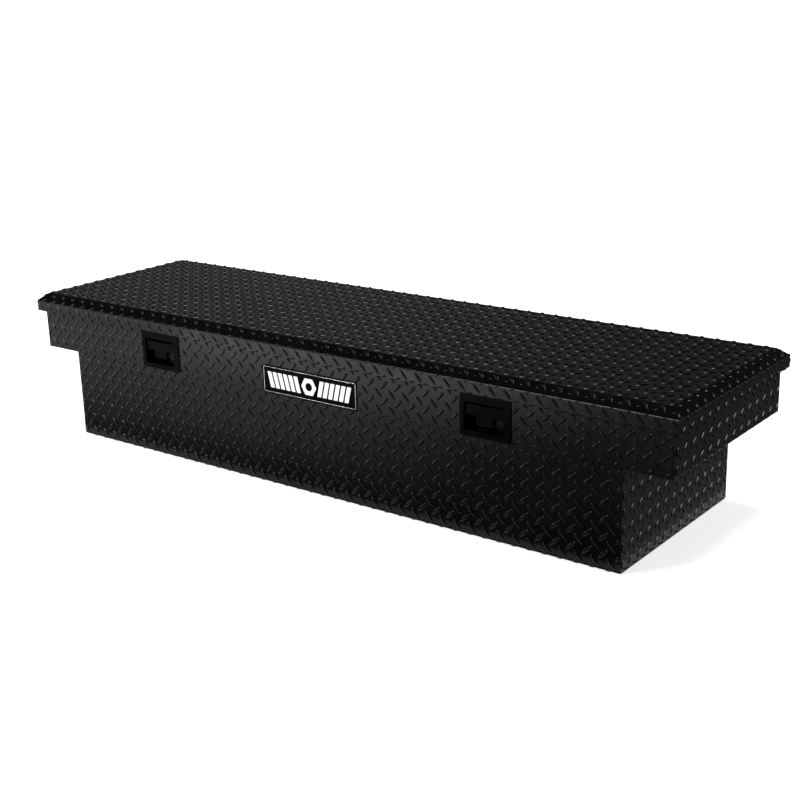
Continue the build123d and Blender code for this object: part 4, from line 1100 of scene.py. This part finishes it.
# ---- latch springs ---------------------------------------------------------------------------------
@dataclass
class TorsionSpring:
    """The hook's return spring: a close coil on the hook's pin, with two straight legs."""

    hand: Hand
    wire: float = 0.8 * MM
    turns: float = 3.4
    leg: float = 9.0 * MM
    first_leg_angle: float = 200.0
    coil_steps: int = 96
    leg_steps: int = 6
    wire_steps: int = 10

    @property
    def node(self) -> str:
        """The plain CAD rings that the coil stands for."""
        return f"hook_spring_{self.hand.word}"

    def centreline(self) -> np.ndarray:
        """The wire's middle line.

        The coil is a circle about X whose place along X grows with its angle; each leg leaves along
        the coil's own direction there.

        Returns:
            (points, 3) places in the row frame.
        """
        low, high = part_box(self.node)
        middle = (low + high) / 2
        radius = (high.z - low.z) / 2 - self.wire
        half = (high.x - low.x) / 2 - self.wire
        start = math.radians(self.first_leg_angle)
        angle = start + np.linspace(0, self.turns * 2 * math.pi, self.coil_steps)
        x = np.linspace(-half, half, self.coil_steps)
        coil = np.stack((x, radius * np.cos(angle), radius * np.sin(angle)), axis=-1)
        out = np.linspace(self.leg, 0, self.leg_steps, endpoint=False)[:, None]
        first_way, last_way = coil[1] - coil[0], coil[-1] - coil[-2]
        first = coil[0] - out * first_way / np.linalg.norm(first_way)
        last = coil[-1] + out[::-1] * last_way / np.linalg.norm(last_way)
        return np.concatenate((first, coil, last)) + np.array(middle)

    def build(self, material: bpy.types.Material) -> None:
        """Carries a round section along the centreline and closes both ends."""
        line = self.centreline()
        way = np.gradient(line, axis=0)
        way /= np.linalg.norm(way, axis=1, keepdims=True)
        side = np.array((1.0, 0.0, 0.0)) - way[:, :1] * way
        side /= np.linalg.norm(side, axis=1, keepdims=True)
        rise = np.cross(way, side)
        turn = np.arange(self.wire_steps) / self.wire_steps * 2 * math.pi
        section = self.wire * (np.cos(turn)[:, None] * side[:, None] + np.sin(turn)[:, None] * rise[:, None])
        points = (line[:, None] + section).reshape(-1, 3)
        quads = ring_quads(len(line), self.wire_steps)
        start = np.arange(self.wire_steps)[::-1][None]
        stop = (np.arange(self.wire_steps) + (len(line) - 1) * self.wire_steps)[None]
        body = frame["nodes"][self.node]["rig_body"]
        name = f"hook_spring_coil_{self.hand.word}"
        piece = new_piece(name, points, [quads, start, stop], material, body)
        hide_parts(self.node)


# ---- studio ---------------------------------------------------------------------------------------
@dataclass(frozen=True)
class SoftBox:
    """A square soft light aimed at a point."""

    name: str
    place: Vector
    aim: Vector
    side: float
    watts: float

    def build(self) -> None:
        """Adds the light, turned so that it shines from its place to its aim."""
        light = bpy.data.lights.new(self.name, "AREA")
        light.shape = "SQUARE"
        light.size = self.side
        light.energy = self.watts
        lamp = bpy.data.objects.new(self.name, light)
        lamp.location = self.place
        lamp.rotation_euler = (self.aim - self.place).to_track_quat("-Z", "Y").to_euler()
        bpy.context.scene.collection.objects.link(lamp)


@dataclass(frozen=True)
class ReflectorCard:
    """A softly glowing rectangle that only reflections see, so it shades the coat and nothing else.

    With d from 0 to 1 across it, its glow runs from near to middle over the first quarter, and d^4 times
    far is added. Along it, the glow falls to the faded share over one stretch.
    """

    name: str
    corner: Vector
    along: Vector
    across: Vector
    near: float
    middle: float
    far: float
    fade_from: float
    fade_to: float
    faded: float

    def build(self) -> None:
        """Lays the card as a unit square stretched over its two edges."""
        mesh = bpy.data.meshes.new(self.name)
        mesh.from_pydata([(0, 0, 0), (1, 0, 0), (1, 1, 0), (0, 1, 0)], [], [(0, 1, 2, 3)])
        graph = Graph(self.name)
        graph.constant("Base Color", (0.0, 0.0, 0.0, 1.0))
        graph.constant("Specular IOR Level", 0.0)
        graph.constant("Emission Color", (1.0, 1.0, 1.0, 1.0))
        depth = graph.share_along("Y")
        squared = graph.combine("MULTIPLY", depth, depth)
        rise = graph.spread(graph.combine("MULTIPLY", squared, squared), 0, self.far, 0, 1)
        glow = graph.combine("ADD", graph.spread(depth, self.near, self.middle, 0, 0.25), rise)
        fade = graph.spread(graph.share_along("X"), 1, self.faded, self.fade_from, self.fade_to)
        graph.drive("Emission Strength", graph.combine("MULTIPLY", glow, fade))
        mesh.materials.append(graph.material)
        card = bpy.data.objects.new(self.name, mesh)
        turn = Matrix((self.along, self.across, self.along.cross(self.across))).transposed().to_4x4()
        card.matrix_world = Matrix.Translation(self.corner) @ turn
        card.visible_camera = card.visible_diffuse = card.visible_shadow = False
        bpy.context.scene.collection.objects.link(card)


@dataclass
class Studio:
    """Camera, pale floor, pale surroundings and soft lights."""

    azimuth: float = 37.548
    elevation: float = 17.613
    roll: float = -1.510
    distance: float = 3.2162
    aim_height: float = 0.180
    aim_right: float = 0.0525
    aim_up: float = -0.0231
    lens: float = 62.0
    sensor: float = 36.0
    floor_side: float = 60.0
    floor_drop: float = TreadLug.height
    floor_color: Color = (0.86, 0.86, 0.86)
    sky_color: Color = (0.90, 0.92, 0.95)
    sky_strength: float = 0.06
    noon_strength: float = 1.9
    noon_spread: float = 18.0
    paper_glow: float = 0.70

    def build_camera(self) -> None:
        """Stands the camera off the box along its azimuth and elevation, rolled a little."""
        azimuth, elevation, roll = (math.radians(a) for a in (self.azimuth, self.elevation, self.roll))
        level = math.cos(elevation)
        back = Vector((math.sin(azimuth) * level, -math.cos(azimuth) * level, math.sin(elevation)))
        right = Vector((0, 0, 1)).cross(back).normalized()
        up = back.cross(right)
        right, up = (
            math.cos(roll) * right + math.sin(roll) * up,
            math.cos(roll) * up - math.sin(roll) * right,
        )
        aim = Vector((0, 0, self.aim_height)) + self.aim_right * right + self.aim_up * up
        data = bpy.data.cameras.new("product_camera")
        data.lens = self.lens
        data.sensor_width = self.sensor
        data.clip_end = 2 * self.floor_side
        camera = bpy.data.objects.new("product_camera", data)
        turn = Matrix((right, up, back)).transposed().to_4x4()
        camera.matrix_world = Matrix.Translation(aim + self.distance * back) @ turn
        bpy.context.scene.collection.objects.link(camera)
        bpy.context.scene.camera = camera

    def build_floor(self) -> None:
        """Lays one large pale sheet just under the lugs of the tub's floor."""
        half, z = self.floor_side / 2, -self.floor_drop
        corners = [(-half, -half, z), (half, -half, z), (half, half, z), (-half, half, z)]
        mesh = bpy.data.meshes.new("studio_floor")
        mesh.from_pydata(corners, [], [(0, 1, 2, 3)])
        graph = Graph("pale_studio_paper")
        graph.constant("Base Color", (*self.floor_color, 1.0))
        graph.constant("Roughness", 0.9)
        graph.constant("Specular IOR Level", 0.1)
        graph.constant("Emission Color", (1.0, 1.0, 1.0, 1.0))
        graph.constant("Emission Strength", self.paper_glow)
        mesh.materials.append(graph.material)
        floor = bpy.data.objects.new("studio_floor", mesh)
        bpy.context.scene.collection.objects.link(floor)

    def build_backdrop(self) -> None:
        """Stands pale walls at the floor's far edges, for views near the horizon.

        Only the camera sees them.
        """
        half, tall = self.floor_side / 2, self.floor_side / 4
        rim = [(-half, -half), (half, -half), (half, half), (-half, half)]
        corners = [(x, y, z) for z in (-self.floor_drop, tall) for x, y in rim]
        sides = len(rim)
        walls = [(i, (i + 1) % sides, (i + 1) % sides + sides, i + sides) for i in range(sides)]
        mesh = bpy.data.meshes.new("studio_backdrop")
        mesh.from_pydata(corners, [], walls)
        graph = Graph("pale_backdrop")
        graph.constant("Emission Color", (1.0, 1.0, 1.0, 1.0))
        graph.constant("Emission Strength", 1.0)
        mesh.materials.append(graph.material)
        backdrop = bpy.data.objects.new("studio_backdrop", mesh)
        backdrop.visible_diffuse = backdrop.visible_glossy = backdrop.visible_shadow = False
        bpy.context.scene.collection.objects.link(backdrop)

    def build_sky(self) -> None:
        """Surrounds the set with even pale light."""
        world = bpy.data.worlds.new("studio_surround")
        world.use_nodes = True
        surround = world.node_tree.nodes["Background"]
        surround.inputs["Color"].default_value = (*self.sky_color, 1.0)
        surround.inputs["Strength"].default_value = self.sky_strength
        bpy.context.scene.world = world

    def build_lights(self) -> None:
        """Hangs a wide even light straight above, and soft boxes at the front left and the right end."""
        noon = bpy.data.lights.new("overhead_key", "SUN")
        noon.energy = self.noon_strength
        noon.angle = math.radians(self.noon_spread)
        bpy.context.scene.collection.objects.link(bpy.data.objects.new("overhead_key", noon))
        for box in (
            SoftBox("front_fill", Vector((-1.8, -3.6, 2.0)), Vector((-0.6, -0.24, 0.15)), 1.4, 130),
            SoftBox("left_edge_light", Vector((-4.0, -0.9, 0.7)), Vector((0, -0.24, 0.2)), 1.2, 12),
            SoftBox("end_light", Vector((3.6, 0.9, 0.9)), Vector((0.8, 0, 0.2)), 0.8, 50),
        ):
            box.build()

    def build_cards(self) -> None:
        """Cards for the front faces, the right end and the lid's top, each where its mirror image lies."""
        just_off_floor = 1.0 * MM
        for card in (
            ReflectorCard(
                "front_card",
                Vector((-1.3, -0.27, just_off_floor)), Vector((2.5, 0, 0)), Vector((0, -1.0, 0)),
                near=0.05, middle=1.15, far=9.5, fade_from=0.38, fade_to=0.64, faded=0.14,
            ),
            ReflectorCard(
                "end_card", Vector((0.79, -0.3, just_off_floor)), Vector((0, 3.6, 0)), Vector((3.2, 0, 0)),
                near=0.28, middle=0.04, far=0.0, fade_from=0.0, fade_to=1.0, faded=0.6,
            ),
            ReflectorCard(
                "back_card", Vector((-6.5, 4.2, 0.2)), Vector((7.5, 0, 0)), Vector((0, 0, 3.2)),
                near=0.16, middle=0.18, far=0.0, fade_from=0.4, fade_to=0.75, faded=0.45,
            ),
        ):
            card.build()

    def build(self) -> None:
        """Sets the whole studio."""
        bpy.context.scene.view_settings.view_transform = "Standard"
        self.build_camera()
        self.build_floor()
        self.build_backdrop()
        self.build_sky()
        self.build_lights()
        self.build_cards()
        log.info("studio set")


def main() -> None:
    """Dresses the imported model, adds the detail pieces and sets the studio."""
    logging.basicConfig(level=logging.INFO, format="%(name)s: %(message)s")
    wardrobe = Wardrobe()
    materials = wardrobe.materials()
    wardrobe.dress_cad(materials)
    TreadPlateShell().build(materials[Slot.TREAD])
    Nameplate().build(wardrobe)
    for hand in Hand:
        TorsionSpring(hand).build(materials[Slot.ZINC])
    Studio().build()


if __name__ == "__main__":
    main()
